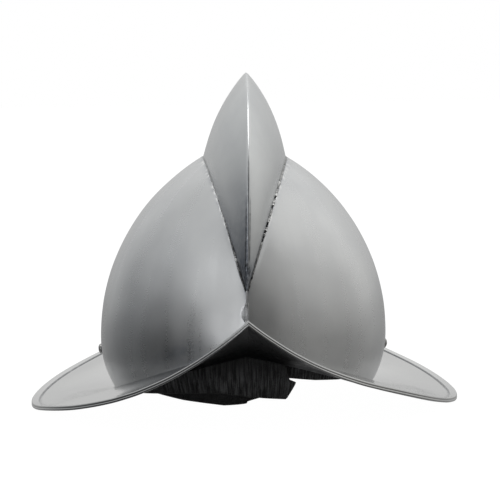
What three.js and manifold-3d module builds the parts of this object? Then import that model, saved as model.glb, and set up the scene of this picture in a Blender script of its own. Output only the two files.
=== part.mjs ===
// A comb morion: an open steel war hat. Two bowl plates meet in a seam at the front and back and take
// the foot of a hollow keeled comb between them. They stand on a boat-shaped brim with a turned edge.
// A black leather head band, riveted at the two sides, hangs level inside and shows under the front.
// Millimetres, +Z up, the front towards -Y. The helmet stands on the two low sides of its brim, and the
// origin lies on the standing plane under the middle of the helmet.

import * as THREE from "three";
import { mergeVertices } from "three/addons/utils/BufferGeometryUtils.js";
import Module from "manifold-3d";

const wasm = await Module();
wasm.setup();

// Sheet metal and clearances
const sheet = 1.6; // wall of the plates, comb and brim
const fitGap = 0.3; // left between pieces that meet

// Brim
const brimLength = 368;
const brimWidth = 307;
const brimFullness = 0.43; // 0 gives parabolic sides and sharp beaks, 1 gives full ends
const edgeRise = 78.8; // of the beaks above the low sides
const edgeCurlShare = 0.5; // the part of that rise which comes in the upturned beaks
const edgeCurlPower = 8;
const standLength = 24; // flat stretch of each low side
const seatHeight = 11; // of the bowl's foot at the sides
const seatRise = 40; // how much higher that foot is at the front and back
const seatLip = 2; // brim left inside the bowl's wall
const seatLand = 1.5; // brim left outside it before the slope starts
const slopeAtSeat = 0.6; // share of the seat's own slope that the brim leaves it with
const slopeAtSide = -0.22; // at the turned edge, at the low sides
const slopeAtBeak = 0.5; // at the turned edge, at the beaks
const hemWidth = 5.5;
const hemThickness = 3.4;
const hemStep = 0.6; // of the turned edge above the sheet
const hemRound = 1.2;
const beakTwist = 1.8; // degrees that the front of the brim is bent down on its -X side and up on its other
const beakTwistFrom = 0.35; // share of the half-length where that twist starts
const beakTwistTo = 0.85; // and where it is full
const beakDrop = 1.5; // of the front beak under the back one
const beakDropFrom = 0.62;
const beakDropTo = 0.98;

// Bowl
const bowlWidth = 206;
const bowlLength = 240;
const bowlFullness = 0.4;
const bulgeHeight = 47.8; // where the bowl is widest
const archRadius = 148; // of the cross-section above that
const tuckRadius = 70; // and below it
const keelBulgeHeight = 58.8; // where the bowl is longest
const keelTuckRadius = 117; // of the keel below that
const leanAngle = 0.9; // degrees that the hand-made bowl leans towards +X over its brim

// Comb
const combWidth = 59;
const combHeight = 47.2; // above the crown that the two plates would meet in
const combAxisHeight = 96.8; // its sections are cut on planes through a line at this height
const combEndAngle = 92.3; // degrees from the top to each tip
const combEndCrest = 0.8; // height left over the keel at each tip
const combEndWidth = 1.2;
const combPlanPower = 1.95; // how late the comb narrows towards its tips
const flankTaper = 0.5; // share of the flank's draw-in that is straight
const flankPower = 2.6; // and the power of the rest
const combTuck = 5; // foot of the comb inside the bowl
const ridgeWalls = 1.8; // thickness of the comb's ridge, in walls
const combSway = 1.1; // of the top of the ridge to the +X side of its foot
const combBow = 0.9; // of its middle to the same side of its two tips

// Head band
const leather = 2;
const bandEndClearance = 11.4; // from the bowl's wall at the front and back
const bandEndPower = 1.5; // of its plan: 1 gives an ellipse, more gives narrower ends
const bandClearance = 1.2; // from that wall at the sides
const bandHeight = 46; // of its top edge above the foot of the bowl's sides
const bandInset = 9; // the furthest that its loose ends stand in from the bowl's wall

// Rivets
const rivetBehind = 8; // the widest place
const rivetHeight = 37;
const rivetHeadDiameter = 7.4;
const rivetHeadHeight = 3;
const rivetShankDiameter = 4;
const rivetTailDiameter = 7;
const rivetTailHeight = 1.2;
const rivetTailDraft = 0.2; // share of the tail's radius that its edge draws in by
const rivetNeckShare = 0.3; // of the head's height below its dome

const degrees = Math.PI / 180;
const far = 400; // past the helmet on every side
const halvings = 50; // of a search for a point on a curve

// Facets
const brimStations = 36;
const footSteps = 48;
const bowlStations = 26;
const bowlLevels = 17;
const combStations = 34;
const flankSteps = 7;
const bandStations = 92;
const rivetSides = 12;
const domeSteps = 6;

// Solids from rings of points

function solidOf(geometry) {
  for (const name of ["normal", "uv"]) geometry.deleteAttribute(name);
  const merged = mergeVertices(geometry, 1e-4);
  return new wasm.Manifold(
    new wasm.Mesh({
      numProp: 3,
      vertProperties: new Float32Array(merged.attributes.position.array),
      triVerts: new Uint32Array(merged.index.array),
    }),
  );
}

function geometryOf(solid) {
  const { vertProperties, triVerts } = solid.getMesh();
  const geometry = new THREE.BufferGeometry();
  geometry.setAttribute("position", new THREE.BufferAttribute(vertProperties, 3));
  geometry.setIndex(new THREE.BufferAttribute(triVerts, 1));
  return geometry;
}

// A closed body through rings of equally many points. The rings join end to end in a loop, or else the
// first and the last ring are closed with a fan round their middle.
function skin(rings, isLoop = false) {
  const size = rings[0].length;
  const points = rings.flat();
  const faces = [];
  const count = isLoop ? rings.length : rings.length - 1;
  for (let i = 0; i < count; i++) {
    const here = i * size;
    const next = ((i + 1) % rings.length) * size;
    for (let j = 0; j < size; j++) {
      const k = (j + 1) % size;
      faces.push(here + j, next + j, next + k, here + j, next + k, here + k);
    }
  }
  if (!isLoop) {
    const ends = [rings[0], rings.at(-1)];
    ends.forEach((ring, end) => {
      const middle = ring.reduce((sum, p) => sum.add(p), new THREE.Vector3()).divideScalar(size);
      const centre = points.push(middle) - 1;
      const start = end ? (rings.length - 1) * size : 0;
      for (let j = 0; j < size; j++) {
        const pair = [start + j, start + ((j + 1) % size)];
        faces.push(centre, ...(end ? pair.reverse() : pair));
      }
    });
  }
  const geometry = new THREE.BufferGeometry().setFromPoints(points);
  geometry.setIndex(faces);
  const made = solidOf(geometry);
  if (made.volume() > 0) return made;
  for (let i = 0; i < faces.length; i += 3) faces.splice(i, 3, faces[i], faces[i + 2], faces[i + 1]);
  geometry.setIndex(faces);
  return solidOf(geometry);
}

// Shares from -1 at the front to 1 at the back, closer together towards the pointed ends.
function shares(steps) {
  return Array.from({ length: steps + 1 }, (_, i) => Math.sin(((2 * i) / steps - 1) * 90 * degrees));
}

// Plan and side curves

// Half-width of an almond, as a share of its widest, at a share of its half-length from the middle.
function almond(share, fullness) {
  return 1 - (1 - fullness) * share ** 2 - fullness * share ** 4;
}

const archDrop = archRadius - bowlWidth / 2; // from the widest place in to the arch's centre
const tuckDrop = tuckRadius - bowlWidth / 2;

// Height of the crown that the arches would meet in, depth below the outer surface.
function crownHeight(depth = 0) {
  return bulgeHeight + Math.sqrt((archRadius - depth) ** 2 - archDrop ** 2);
}

function bowlHalfWidth(z, depth = 0) {
  const [radius, drop] = z > bulgeHeight ? [archRadius, archDrop] : [tuckRadius, tuckDrop];
  return Math.sqrt((radius - depth) ** 2 - (z - bulgeHeight) ** 2) - drop;
}

function bowlHalfLength(z, depth = 0) {
  const longest = bowlLength / 2 - depth;
  if (z < keelBulgeHeight) {
    return longest - keelTuckRadius + Math.sqrt(keelTuckRadius ** 2 - (z - keelBulgeHeight) ** 2);
  }
  const share = (z - keelBulgeHeight) / (crownHeight(depth) - keelBulgeHeight);
  return longest * Math.sqrt(Math.max(0, 1 - share ** 2));
}

// Half-width of the bowl at a point of the middle plane, or less than nothing outside it.
function bowlHalfWidthOver(y, z) {
  if (z >= crownHeight()) return -1;
  const share = y / Math.max(bowlHalfLength(z), 1e-6);
  return Math.abs(share) < 1 ? bowlHalfWidth(z) * almond(share, bowlFullness) : -1;
}

// Top of the brim under the bowl's foot.
const footHalfLength = bowlHalfLength(seatHeight + seatRise);
function seatTop(y) {
  return seatHeight + seatRise * (y / footHalfLength) ** 2;
}

// The bowl's outer foot at a share of its length.
function footPoint(share) {
  let z = seatHeight;
  for (let i = 0; i < halvings; i++) z = seatTop(bowlHalfLength(z) * share);
  return new THREE.Vector3(bowlHalfWidth(z) * almond(share, bowlFullness), bowlHalfLength(z) * share, z);
}

// Brim

const standShare = standLength / brimLength;

// How far the hand-made brim's front edge stands above an even one. The side is 1 towards +X, else -1.
function edgeOffset(share, side, halfWidth) {
  const twist = THREE.MathUtils.smoothstep(-share, beakTwistFrom, beakTwistTo);
  const drop = THREE.MathUtils.smoothstep(-share, beakDropFrom, beakDropTo);
  return side * halfWidth * Math.tan(beakTwist * degrees) * twist - beakDrop * drop;
}

// Middle of the turned edge's outer side, at a share of the brim's length, as if on the +X side.
function edgePoint(share, side) {
  const sweepAt = (along) => (1 - edgeCurlShare) * along ** 2 + edgeCurlShare * along ** edgeCurlPower;
  const sweep = Math.max(0, sweepAt(Math.abs(share)) - sweepAt(standShare));
  const halfWidth = (brimWidth / 2) * almond(share, brimFullness);
  return new THREE.Vector3(
    halfWidth,
    (brimLength / 2) * share,
    hemThickness / 2 + edgeRise * sweep + edgeOffset(share, side, halfWidth),
  );
}

// A section of the brim from its inner edge out and back under, as if on the +X side.
function brimSection(share, side) {
  const foot = footPoint(share);
  const edge = edgePoint(share, side);
  const across = new THREE.Vector3(edge.x - foot.x, edge.y - foot.y, 0);
  const width = across.length();
  across.normalize();
  const place = (distance, z) =>
    new THREE.Vector3(foot.x + across.x * distance, foot.y + across.y * distance, z);
  const seatAt = (distance) => seatTop(foot.y + across.y * distance);

  const hemStart = width - hemWidth;
  const run = hemStart - seatLand;
  const edgeTop = edge.z + hemThickness / 2 - hemStep; // of the sheet where it meets the hem
  const seatSlope = ((2 * seatRise * foot.y) / footHalfLength ** 2) * across.y * slopeAtSeat;
  const edgeSlope = THREE.MathUtils.lerp(slopeAtSide, slopeAtBeak, share ** 4);
  // A cubic that leaves the seat and reaches the hem at those two slopes.
  const topAt = (distance) => {
    const t = (distance - seatLand) / run;
    return (
      (2 * t ** 3 - 3 * t ** 2 + 1) * seatAt(seatLand) +
      (t ** 3 - 2 * t ** 2 + t) * run * seatSlope +
      (3 * t ** 2 - 2 * t ** 3) * edgeTop +
      (t ** 3 - t ** 2) * run * edgeSlope
    );
  };
  const inner = -(sheet + seatLip);
  const slopes = [0.2, 0.4, 0.6, 0.8].map((t) => seatLand + t * run);
  const tops = [
    place(inner, seatAt(inner)),
    place(seatLand, seatAt(seatLand)),
    ...slopes.map((distance) => place(distance, topAt(distance))),
    place(hemStart, edgeTop),
  ];
  const halfHem = hemThickness / 2;
  const hem = [
    place(hemStart + hemStep, edge.z + halfHem),
    place(width - hemRound, edge.z + halfHem),
    place(width, edge.z + halfHem - hemRound),
    place(width, edge.z - halfHem + hemRound),
    place(width - hemRound, edge.z - halfHem),
    place(hemStart + hemStep, edge.z - halfHem),
  ];
  const unders = tops.map((p) => p.clone().setZ(p.z - sheet)).reverse();
  return [...tops, ...hem, ...unders];
}

function mirrored(points) {
  return points.map((p) => new THREE.Vector3(-p.x, p.y, p.z));
}

function makeBrim() {
  const isPastStand = (share) => Math.abs(share) > standShare + 1 / brimStations;
  const stations = [...shares(brimStations).filter(isPastStand), -standShare, standShare];
  stations.sort((a, b) => a - b);
  const plus = stations.map((share) => brimSection(share, 1));
  const minus = stations.slice(1, -1).reverse().map((share) => mirrored(brimSection(share, -1)));
  return skin([...plus, ...minus], true);
}

// Bowl

function bowlRing(z, depth) {
  const right = shares(bowlStations).map(
    (share) =>
      new THREE.Vector3(
        bowlHalfWidth(z, depth) * almond(share, bowlFullness),
        bowlHalfLength(z, depth) * share,
        z,
      ),
  );
  return [...right, ...mirrored(right.slice(1, -1).reverse())];
}

// The bowl as a filled body, depth inside its outer surface.
function bowlBody(depth) {
  const low = seatHeight - 2 * sheet - depth;
  const top = crownHeight(depth);
  const levels = Array.from({ length: bowlLevels }, (_, i) => Math.sin((i / bowlLevels) * 90 * degrees));
  const rings = levels.map((t) => bowlRing(THREE.MathUtils.lerp(low, top, t), depth));
  return skin([...rings, rings[0].map(() => new THREE.Vector3(0, 0, top))]);
}

function box(low, high) {
  const size = new THREE.Vector3().subVectors(high, low);
  const middle = new THREE.Vector3().addVectors(low, high).multiplyScalar(0.5);
  return solidOf(new THREE.BoxGeometry(size.x, size.y, size.z).translate(middle.x, middle.y, middle.z));
}

// Everything under the bowl's foot.
function underFoot() {
  const outline = new THREE.Shape();
  outline.moveTo(-bowlLength, -far);
  for (let i = 0; i <= footSteps; i++) {
    const y = THREE.MathUtils.lerp(-bowlLength, bowlLength, i / footSteps);
    outline.lineTo(y, seatTop(y) + fitGap);
  }
  outline.lineTo(bowlLength, -far);
  const body = new THREE.ExtrudeGeometry(outline, { depth: 2 * far, bevelEnabled: false });
  body.translate(0, 0, -far);
  const toYZ = new THREE.Matrix4().makeBasis(
    new THREE.Vector3(0, 1, 0),
    new THREE.Vector3(0, 0, 1),
    new THREE.Vector3(1, 0, 0),
  );
  return solidOf(body.applyMatrix4(toYZ));
}

// Comb

const combTurn = combEndAngle * degrees;

// Direction of a comb section, from the line that the sections turn on, at a turn from the top.
function combRay(turn) {
  return new THREE.Vector3(0, Math.sin(turn), Math.cos(turn));
}

function combHalfWidth(turn) {
  const narrow = combEndWidth / 2;
  return narrow + (combWidth / 2 - narrow) * (1 - (Math.abs(turn) / combTurn) ** combPlanPower);
}

// Distance from the comb's line, along a ray, to where the bowl is as wide as a given half-width.
function reachOnBowl(turn, halfWidth) {
  const ray = combRay(turn);
  let near = 0;
  let away = far;
  for (let i = 0; i < halvings; i++) {
    const middle = (near + away) / 2;
    const over = bowlHalfWidthOver(ray.y * middle, combAxisHeight + ray.z * middle);
    if (over > halfWidth) near = middle;
    else away = middle;
  }
  return near;
}

function ridgeReach(turn) {
  const end = reachOnBowl(combTurn, 0) + combEndCrest;
  const top = crownHeight() + combHeight - combAxisHeight;
  const share = (Math.cos(turn) - Math.cos(combTurn)) / (1 - Math.cos(combTurn));
  return end + (top - end) * share;
}

// A section of the comb: foot, flank, ridge, flank, foot. inset is the wall's depth, or less than
// nothing for a body larger than the comb, and foot is how far the section goes into the bowl.
function combSection(turn, inset, foot) {
  const halfWidth = combHalfWidth(turn);
  const base = reachOnBowl(turn, halfWidth);
  const ridge = ridgeReach(turn) - ridgeWalls * inset;
  const ray = combRay(turn);
  const sway = combSway / combHeight;
  const bow = combBow * (1 - (turn / combTurn) ** 2);
  const place = (x, reach) =>
    new THREE.Vector3(
      x + bow + sway * Math.max(0, reach - base),
      ray.y * reach,
      combAxisHeight + ray.z * reach,
    );
  const flank = Array.from({ length: flankSteps }, (_, i) => {
    const t = i / flankSteps;
    const drawIn = 1 - flankTaper * t - (1 - flankTaper) * t ** flankPower;
    return [(halfWidth - inset) * drawIn, THREE.MathUtils.lerp(base, ridge, t)];
  });
  const side = [[halfWidth - inset, base - foot], ...flank];
  const right = side.map(([x, reach]) => place(x, reach));
  const left = side.map(([x, reach]) => place(-x, reach)).reverse();
  return [...right, place(0, ridge), ...left];
}

function combBody(inset, foot, endTurn) {
  const turns = Array.from({ length: combStations + 1 }, (_, i) => ((2 * i) / combStations - 1) * endTurn);
  return skin(turns.map((turn) => combSection(turn, inset, foot)));
}

function makeComb() {
  // The hollow ends where the comb has become no wider than its two walls.
  let hollowTurn = combTurn;
  while (combHalfWidth(hollowTurn) < 2 * sheet) hollowTurn -= degrees / 2;
  return combBody(0, combTuck, combTurn).subtract(combBody(sheet, combTuck + sheet, hollowTurn));
}

// Rivets

// Where a rivet's axis meets the bowl's outer surface on the +X side, and the way out along it.
function rivetSeat() {
  const at = (y, z) => new THREE.Vector3(bowlHalfWidthOver(y, z), y, z);
  const point = at(rivetBehind, rivetHeight);
  const back = at(rivetBehind + 1, rivetHeight).sub(point);
  const up = at(rivetBehind, rivetHeight + 1).sub(point);
  return { point, outward: back.cross(up).normalize() };
}

// A body turned about the rivet's axis: a profile of radius and distance outwards from the bowl.
function turnedOnRivet(profile, side) {
  const { point, outward } = rivetSeat();
  const body = new THREE.LatheGeometry(profile.map(([r, h]) => new THREE.Vector2(r, h)), rivetSides);
  const turn = new THREE.Quaternion().setFromUnitVectors(new THREE.Vector3(0, 1, 0), outward);
  body.applyQuaternion(turn).translate(point.x, point.y, point.z);
  if (side > 0) return solidOf(body);
  body.scale(-1, 1, 1);
  const index = body.index.array;
  for (let i = 0; i < index.length; i += 3) [index[i + 1], index[i + 2]] = [index[i + 2], index[i + 1]];
  return solidOf(body);
}

// How far the head band's inner face lies inside the bowl's outer surface at the rivet.
function bandDepthAtRivet() {
  const along = (1 - (rivetBehind / bandHalfLength) ** 2) ** (bandEndPower / 2);
  return rivetSeat().point.x - bandHalfWidth(rivetHeight) * along + leather;
}

function makeRivet(side) {
  const head = rivetHeadDiameter / 2;
  const shank = rivetShankDiameter / 2;
  const tail = rivetTailDiameter / 2;
  const neck = rivetHeadHeight * rivetNeckShare;
  const dome = Array.from({ length: domeSteps }, (_, i) => {
    const turn = (i / domeSteps) * 90 * degrees;
    return [head * Math.cos(turn), fitGap + neck + (rivetHeadHeight - neck) * Math.sin(turn)];
  });
  const tailTop = -(bandDepthAtRivet() + fitGap);
  return turnedOnRivet(
    [
      [0, tailTop - rivetTailHeight],
      [tail * (1 - rivetTailDraft), tailTop - rivetTailHeight],
      [tail, tailTop - rivetTailHeight / 2],
      [tail, tailTop],
      [shank, tailTop],
      [shank, fitGap],
      [head, fitGap],
      ...dome,
      [0, fitGap + rivetHeadHeight],
    ],
    side,
  );
}

// A hole for the shank through plate and band, with the bed that the inner head presses into the band.
function rivetHole(side) {
  const hole = rivetShankDiameter / 2 + fitGap;
  const bed = rivetTailDiameter / 2 + fitGap;
  const depth = bandDepthAtRivet();
  const reach = rivetHeadDiameter + depth;
  return turnedOnRivet(
    [
      [0, -reach],
      [bed, -reach],
      [bed, -depth],
      [hole, -depth],
      [hole, reach],
      [0, reach],
    ],
    side,
  );
}

// Head band

// The band's edges, from its cut front end on the +X side of the brow, round by -X and the back,
// to its other end, which hangs inside the first one. angle is in degrees from the middle of the front
// towards -X, bottom and top are shares of the band's height above the foot of the bowl's sides, and
// inset is a share of the loose ends' own.
const bandRun = [
  { angle: -32, bottom: 0.28, top: 0.3, inset: 0.5 },
  { angle: -28, bottom: 0.06, top: 0.36, inset: 0.35 },
  { angle: -23, bottom: 0.09, top: 0.8, inset: 0.03 },
  { angle: -11, bottom: 0.14, top: 0.92, inset: 0 },
  { angle: 20, bottom: 0.2, top: 0.95, inset: 0 },
  { angle: 36, bottom: 0.16, top: 0.92, inset: 0 },
  { angle: 62, bottom: 0.05, top: 0.88, inset: 0 },
  { angle: 95, bottom: 0.17, top: 0.85, inset: 0 },
  { angle: 180, bottom: 0.2, top: 0.9, inset: 0 },
  { angle: 268, bottom: 0.2, top: 0.85, inset: 0 },
  { angle: 307, bottom: 0.24, top: 0.88, inset: 0.3 },
  { angle: 318, bottom: 0.28, top: 0.9, inset: 0.7 },
  { angle: 334, bottom: 0.38, top: 0.88, inset: 1 },
  { angle: 345, bottom: 0.1, top: 0.84, inset: 0.95 },
  { angle: 356, bottom: 0.06, top: 0.8, inset: 0.8 },
  { angle: 380, bottom: 0, top: 0.78, inset: 0.6 },
  { angle: 400, bottom: 0.03, top: 0.76, inset: 0.5 },
  { angle: 425, bottom: 0.12, top: 0.7, inset: 0.5 },
];

// The run at an angle, on straight lines between its rows.
function bandRowAt(angle) {
  const after = bandRun.findIndex((row) => row.angle >= angle);
  const i = Math.max(after, 1);
  const [a, b] = [bandRun[i - 1], bandRun[i]];
  const t = (angle - a.angle) / (b.angle - a.angle);
  const mix = (name) => THREE.MathUtils.lerp(a[name], b[name], t);
  return { bottom: mix("bottom"), top: mix("top"), inset: mix("inset") };
}

const bandHalfLength = bowlLength / 2 - sheet - bandEndClearance;

function bandHalfWidth(z) {
  return bowlHalfWidth(z, sheet) - bandClearance;
}

// A point of the band at an angle and height, depth inside the line that it follows.
function bandPoint(angle, z, depth) {
  const plan = (turn) => {
    const across = Math.sign(Math.sin(turn)) * Math.abs(Math.sin(turn)) ** bandEndPower;
    return new THREE.Vector3(-bandHalfWidth(z) * across, -bandHalfLength * Math.cos(turn), z);
  };
  const turn = angle * degrees;
  const along = plan(turn + degrees / 2).sub(plan(turn - degrees / 2)).normalize();
  return plan(turn).add(new THREE.Vector3(along.y, -along.x, 0).multiplyScalar(depth));
}

function bandSection(angle) {
  const row = bandRowAt(angle);
  const depth = row.inset * bandInset;
  const heights = [0, 1 / 3, 2 / 3, 1].map((t) => {
    return seatHeight + bandHeight * THREE.MathUtils.lerp(row.bottom, row.top, t);
  });
  const outer = heights.map((z) => bandPoint(angle, z, depth));
  const inner = heights.map((z) => bandPoint(angle, z, depth + leather)).reverse();
  return [...outer, ...inner];
}

function makeBand() {
  const first = bandRun[0].angle;
  const last = bandRun.at(-1).angle;
  const angles = Array.from({ length: bandStations + 1 }, (_, i) => {
    return THREE.MathUtils.lerp(first, last, i / bandStations);
  });
  return skin(angles.map(bandSection));
}

// Assembly

// The bowl isn't quite true over its brim, and leans about its widest place.
const askew = new THREE.Matrix4()
  .makeTranslation(0, 0, bulgeHeight)
  .multiply(new THREE.Matrix4().makeShear(0, 0, 0, 0, Math.tan(leanAngle * degrees), 0))
  .multiply(new THREE.Matrix4().makeTranslation(0, 0, -bulgeHeight));

const steel = new THREE.MeshStandardMaterial({ color: 0xb4b6b6, roughness: 0.34, metalness: 1 });
const brimSteel = new THREE.MeshStandardMaterial({ color: 0xbcbcb9, roughness: 0.28, metalness: 1 });
const blackLeather = new THREE.MeshStandardMaterial({ color: 0x141414, roughness: 0.55, metalness: 0 });
const rivetSteel = new THREE.MeshStandardMaterial({ color: 0x8a8882, roughness: 0.4, metalness: 1 });

const helmet = new THREE.Group();
helmet.name = "morion";

function addPiece(name, solid, material, isAskew = true) {
  const geometry = geometryOf(solid);
  if (isAskew) geometry.applyMatrix4(askew);
  const mesh = new THREE.Mesh(geometry, material);
  mesh.name = name;
  helmet.add(mesh);
}

const wall = bowlBody(0)
  .subtract(bowlBody(sheet))
  .subtract(underFoot())
  .subtract(combBody(-fitGap, combTuck + 2 * sheet, combTurn));

for (const [name, side] of [["left", -1], ["right", 1]]) {
  const inner = (side * fitGap) / 2;
  const outer = side * far;
  const half = box(
    new THREE.Vector3(Math.min(inner, outer), -far, -far),
    new THREE.Vector3(Math.max(inner, outer), far, far),
  );
  addPiece("bowl_" + name, wall.intersect(half).subtract(rivetHole(side)), steel);
  addPiece("rivet_" + name, makeRivet(side), rivetSteel);
}
addPiece("comb", makeComb(), steel);
addPiece("brim", makeBrim(), brimSteel, false);
addPiece("head_band", makeBand().subtract(rivetHole(-1)).subtract(rivetHole(1)), blackLeather);

export default helmet;
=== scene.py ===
import math

import bpy
import numpy as np
from mathutils import Matrix, Vector, noise


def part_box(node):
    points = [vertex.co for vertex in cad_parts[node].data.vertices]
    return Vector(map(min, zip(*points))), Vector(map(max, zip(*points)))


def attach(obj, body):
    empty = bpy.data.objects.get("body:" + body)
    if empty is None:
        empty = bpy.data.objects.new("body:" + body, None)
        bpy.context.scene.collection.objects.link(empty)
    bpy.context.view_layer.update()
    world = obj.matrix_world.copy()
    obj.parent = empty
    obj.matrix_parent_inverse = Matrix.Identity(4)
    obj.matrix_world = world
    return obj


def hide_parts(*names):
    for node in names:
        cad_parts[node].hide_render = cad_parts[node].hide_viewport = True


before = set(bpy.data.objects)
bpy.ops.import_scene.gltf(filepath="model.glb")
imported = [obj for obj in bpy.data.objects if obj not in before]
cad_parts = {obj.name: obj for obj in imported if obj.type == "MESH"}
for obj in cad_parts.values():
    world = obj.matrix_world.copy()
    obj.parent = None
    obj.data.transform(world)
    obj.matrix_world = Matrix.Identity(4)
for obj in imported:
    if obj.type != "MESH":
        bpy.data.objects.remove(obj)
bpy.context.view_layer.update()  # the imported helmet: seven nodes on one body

# A steel comb morion with a black leather head band. Metres, the front towards -Y.
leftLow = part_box("bowl_left")[0]
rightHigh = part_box("bowl_right")[1]
combLow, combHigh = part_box("comb")
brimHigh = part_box("brim")[1]

mm = 0.001
sheet = 0.0016  # steel of the plates, comb and brim
fitGap = 0.0003  # along the seams, where the welds go
tiny = 1e-12  # keeps a divisor off zero
halvings = 45  # of the stretch in which a crossing is looked for
noiseStride = (7.13, 3.37, 5.71)  # how far each seed moves on through the noise


# Mesh making

def noiseAt(points, size, seed):  # from about -1 to 1, in lumps of a given size
    shift = Vector([seed * stride for stride in noiseStride])
    flat = points.reshape(-1, 3) / size
    return np.array([noise.noise(Vector(p) + shift) for p in flat]).reshape(points.shape[:-1])


def lumps(points, rows, seed):  # several sizes of noise at once, each with its height
    return sum(noiseAt(points, size, seed + n) * height for n, (size, height) in enumerate(rows))


def unit(vectors):
    return vectors / np.maximum(np.linalg.norm(vectors, axis=-1, keepdims=True), tiny)


def gridNormals(points):
    down = np.gradient(points, axis=0)
    along = np.gradient(points, axis=1)
    return unit(np.cross(down, along))


def gridFaces(rows, columns, start, isLoop=False):
    i, j = np.meshgrid(np.arange(rows - 1), np.arange(columns if isLoop else columns - 1), indexing="ij")
    k = (j + 1) % columns
    corners = [i * columns + j, i * columns + k, (i + 1) * columns + k, (i + 1) * columns + j]
    return np.stack(corners, -1).reshape(-1, 4) + start


def makePiece(name, points, faces, masks=None):
    a, b, c, d = (points[faces[:, n]] for n in range(4))
    volume = sum(np.einsum("ij,ij->i", a, np.cross(p, q)).sum() for p, q in ((b, c), (c, d)))
    if volume < 0:
        faces = faces[:, ::-1]
    corners = [[v for n, v in enumerate(face) if v != face[n - 1]] for face in faces.tolist()]
    mesh = bpy.data.meshes.new(name)
    mesh.from_pydata(points.tolist(), [], corners)
    mesh.validate()
    for mask, values in (masks or {}).items():
        made = mesh.attributes.new(mask, "FLOAT", "POINT")
        made.data.foreach_set("value", values.astype(np.float32).ravel())
    mesh.shade_smooth()
    piece = bpy.data.objects.new(name, mesh)
    bpy.context.scene.collection.objects.link(piece)
    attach(piece, "root")
    return piece


def borderOf(rows, columns):  # indices once round the edge of a grid
    index = np.arange(rows * columns).reshape(rows, columns)
    return np.concatenate([index[0, :-1], index[:-1, -1], index[-1, :0:-1], index[:0:-1, 0]])


def makeShell(name, outer, inner, masks=None):  # two grids joined round their edges
    rows, columns = outer.shape[:2]
    count = rows * columns
    front = gridFaces(rows, columns, 0)
    back = gridFaces(rows, columns, count)[:, ::-1]
    ring = borderOf(rows, columns)
    following = np.roll(ring, -1)
    rim = np.stack([following, ring, ring + count, following + count], -1)
    points = np.concatenate([outer.reshape(-1, 3), inner.reshape(-1, 3)])
    doubled = {k: np.concatenate([v.ravel(), v.ravel()]) for k, v in (masks or {}).items()}
    return makePiece(name, points, np.concatenate([front, back, rim]), doubled)


def makeTube(name, rings, masks=None, isLoop=False):  # closed with fans unless the rings loop
    count, size = rings.shape[:2]
    points = rings.reshape(-1, 3)
    closed = np.concatenate([rings, rings[:1]]) if isLoop else rings
    faces = gridFaces(closed.shape[0], size, 0, isLoop=True)
    masks = {k: v.ravel() for k, v in (masks or {}).items()}
    if isLoop:
        faces = faces % (count * size)
    else:
        j = np.arange(size)
        k = (j + 1) % size
        last = (count - 1) * size
        points = np.concatenate([points, rings[:1].mean(1), rings[-1:].mean(1)])
        masks = {n: np.concatenate([v, v[:1], v[-1:]]) for n, v in masks.items()}
        centre = np.full(size, count * size)
        faces = np.concatenate([
            faces,
            np.stack([centre, centre, k, j], -1),
            np.stack([centre + 1, centre + 1, last + j, last + k], -1),
        ])
    return makePiece(name, points, faces, masks)


def crowded(count):  # from -1 to 1, closer together towards both
    return np.sin(np.linspace(-1, 1, count) * math.pi / 2)


def fade(distance, length):
    return np.exp(-distance / length)


def hump(offset, width):
    return np.exp(-((offset / width) ** 2))


def roundedDepth(distance, radius):  # how far a rounded edge drops at a distance from it
    short = np.clip(radius - distance, 0, radius)
    return radius - np.sqrt(radius**2 - short**2)


def smoothStep(low, high, value):
    t = np.clip((value - low) / (high - low), 0, 1)
    return t * t * (3 - 2 * t)


# The bowl's form

bowl = {
    "halfWidth": (rightHigh.x - leftLow.x) / 2,
    "halfLength": rightHigh.y,
    "fullness": 0.4,
    "bulgeHeight": 0.0478,  # where it is widest
    "archRadius": 0.148,  # of the cross-section above that
    "tuckRadius": 0.070,  # and below it
    "keelBulgeHeight": 0.0588,  # where it is longest
    "keelTuckRadius": 0.117,
    "seatHeight": 0.011,  # of the foot at the sides
    "seatRise": 0.040,  # how much higher it is at the front and back
    "lean": math.tan(math.radians(0.9)),
    "footPasses": 60,  # towards where the foot meets the brim
}


def almond(share, fullness):
    return 1 - (1 - fullness) * share**2 - fullness * share**4


def almondShare(width, fullness):  # the other way round: where the almond is that wide
    linear = (1 - fullness) / (2 * fullness)
    return np.sqrt(np.maximum(0, np.sqrt(linear**2 + (1 - width) / fullness) - linear))


def crownHeight():
    drop = bowl["archRadius"] - bowl["halfWidth"]
    return bowl["bulgeHeight"] + math.sqrt(bowl["archRadius"] ** 2 - drop**2)


def bowlHalfWidth(z, depth=0.0):
    radius = np.where(z > bowl["bulgeHeight"], bowl["archRadius"], bowl["tuckRadius"])
    rise = (radius - depth) ** 2 - (z - bowl["bulgeHeight"]) ** 2
    return np.sqrt(np.maximum(rise, 0)) - radius + bowl["halfWidth"]


def bowlHalfLength(z):
    longest, radius = bowl["halfLength"], bowl["keelTuckRadius"]
    above = z - bowl["keelBulgeHeight"]
    tuck = longest - radius + np.sqrt(np.maximum(radius**2 - above**2, 0))
    share = above / (crownHeight() - bowl["keelBulgeHeight"])
    return np.where(above < 0, tuck, longest * np.sqrt(np.maximum(1 - share**2, 0)))


def bowlPoint(share, z):
    halfWidth = bowlHalfWidth(z) * almond(share, bowl["fullness"])
    return np.stack([halfWidth, bowlHalfLength(z) * share, z], -1)


footHalfLength = float(bowlHalfLength(np.array(bowl["seatHeight"] + bowl["seatRise"])))


def seatTop(y):  # of the brim under the bowl's foot
    return bowl["seatHeight"] + bowl["seatRise"] * (y / footHalfLength) ** 2


def footHeight(share, gap=0.0):
    z = np.full(np.shape(share), bowl["seatHeight"])
    for _ in range(bowl["footPasses"]):
        z = seatTop(bowlHalfLength(z) * share) + gap
    return z


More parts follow.
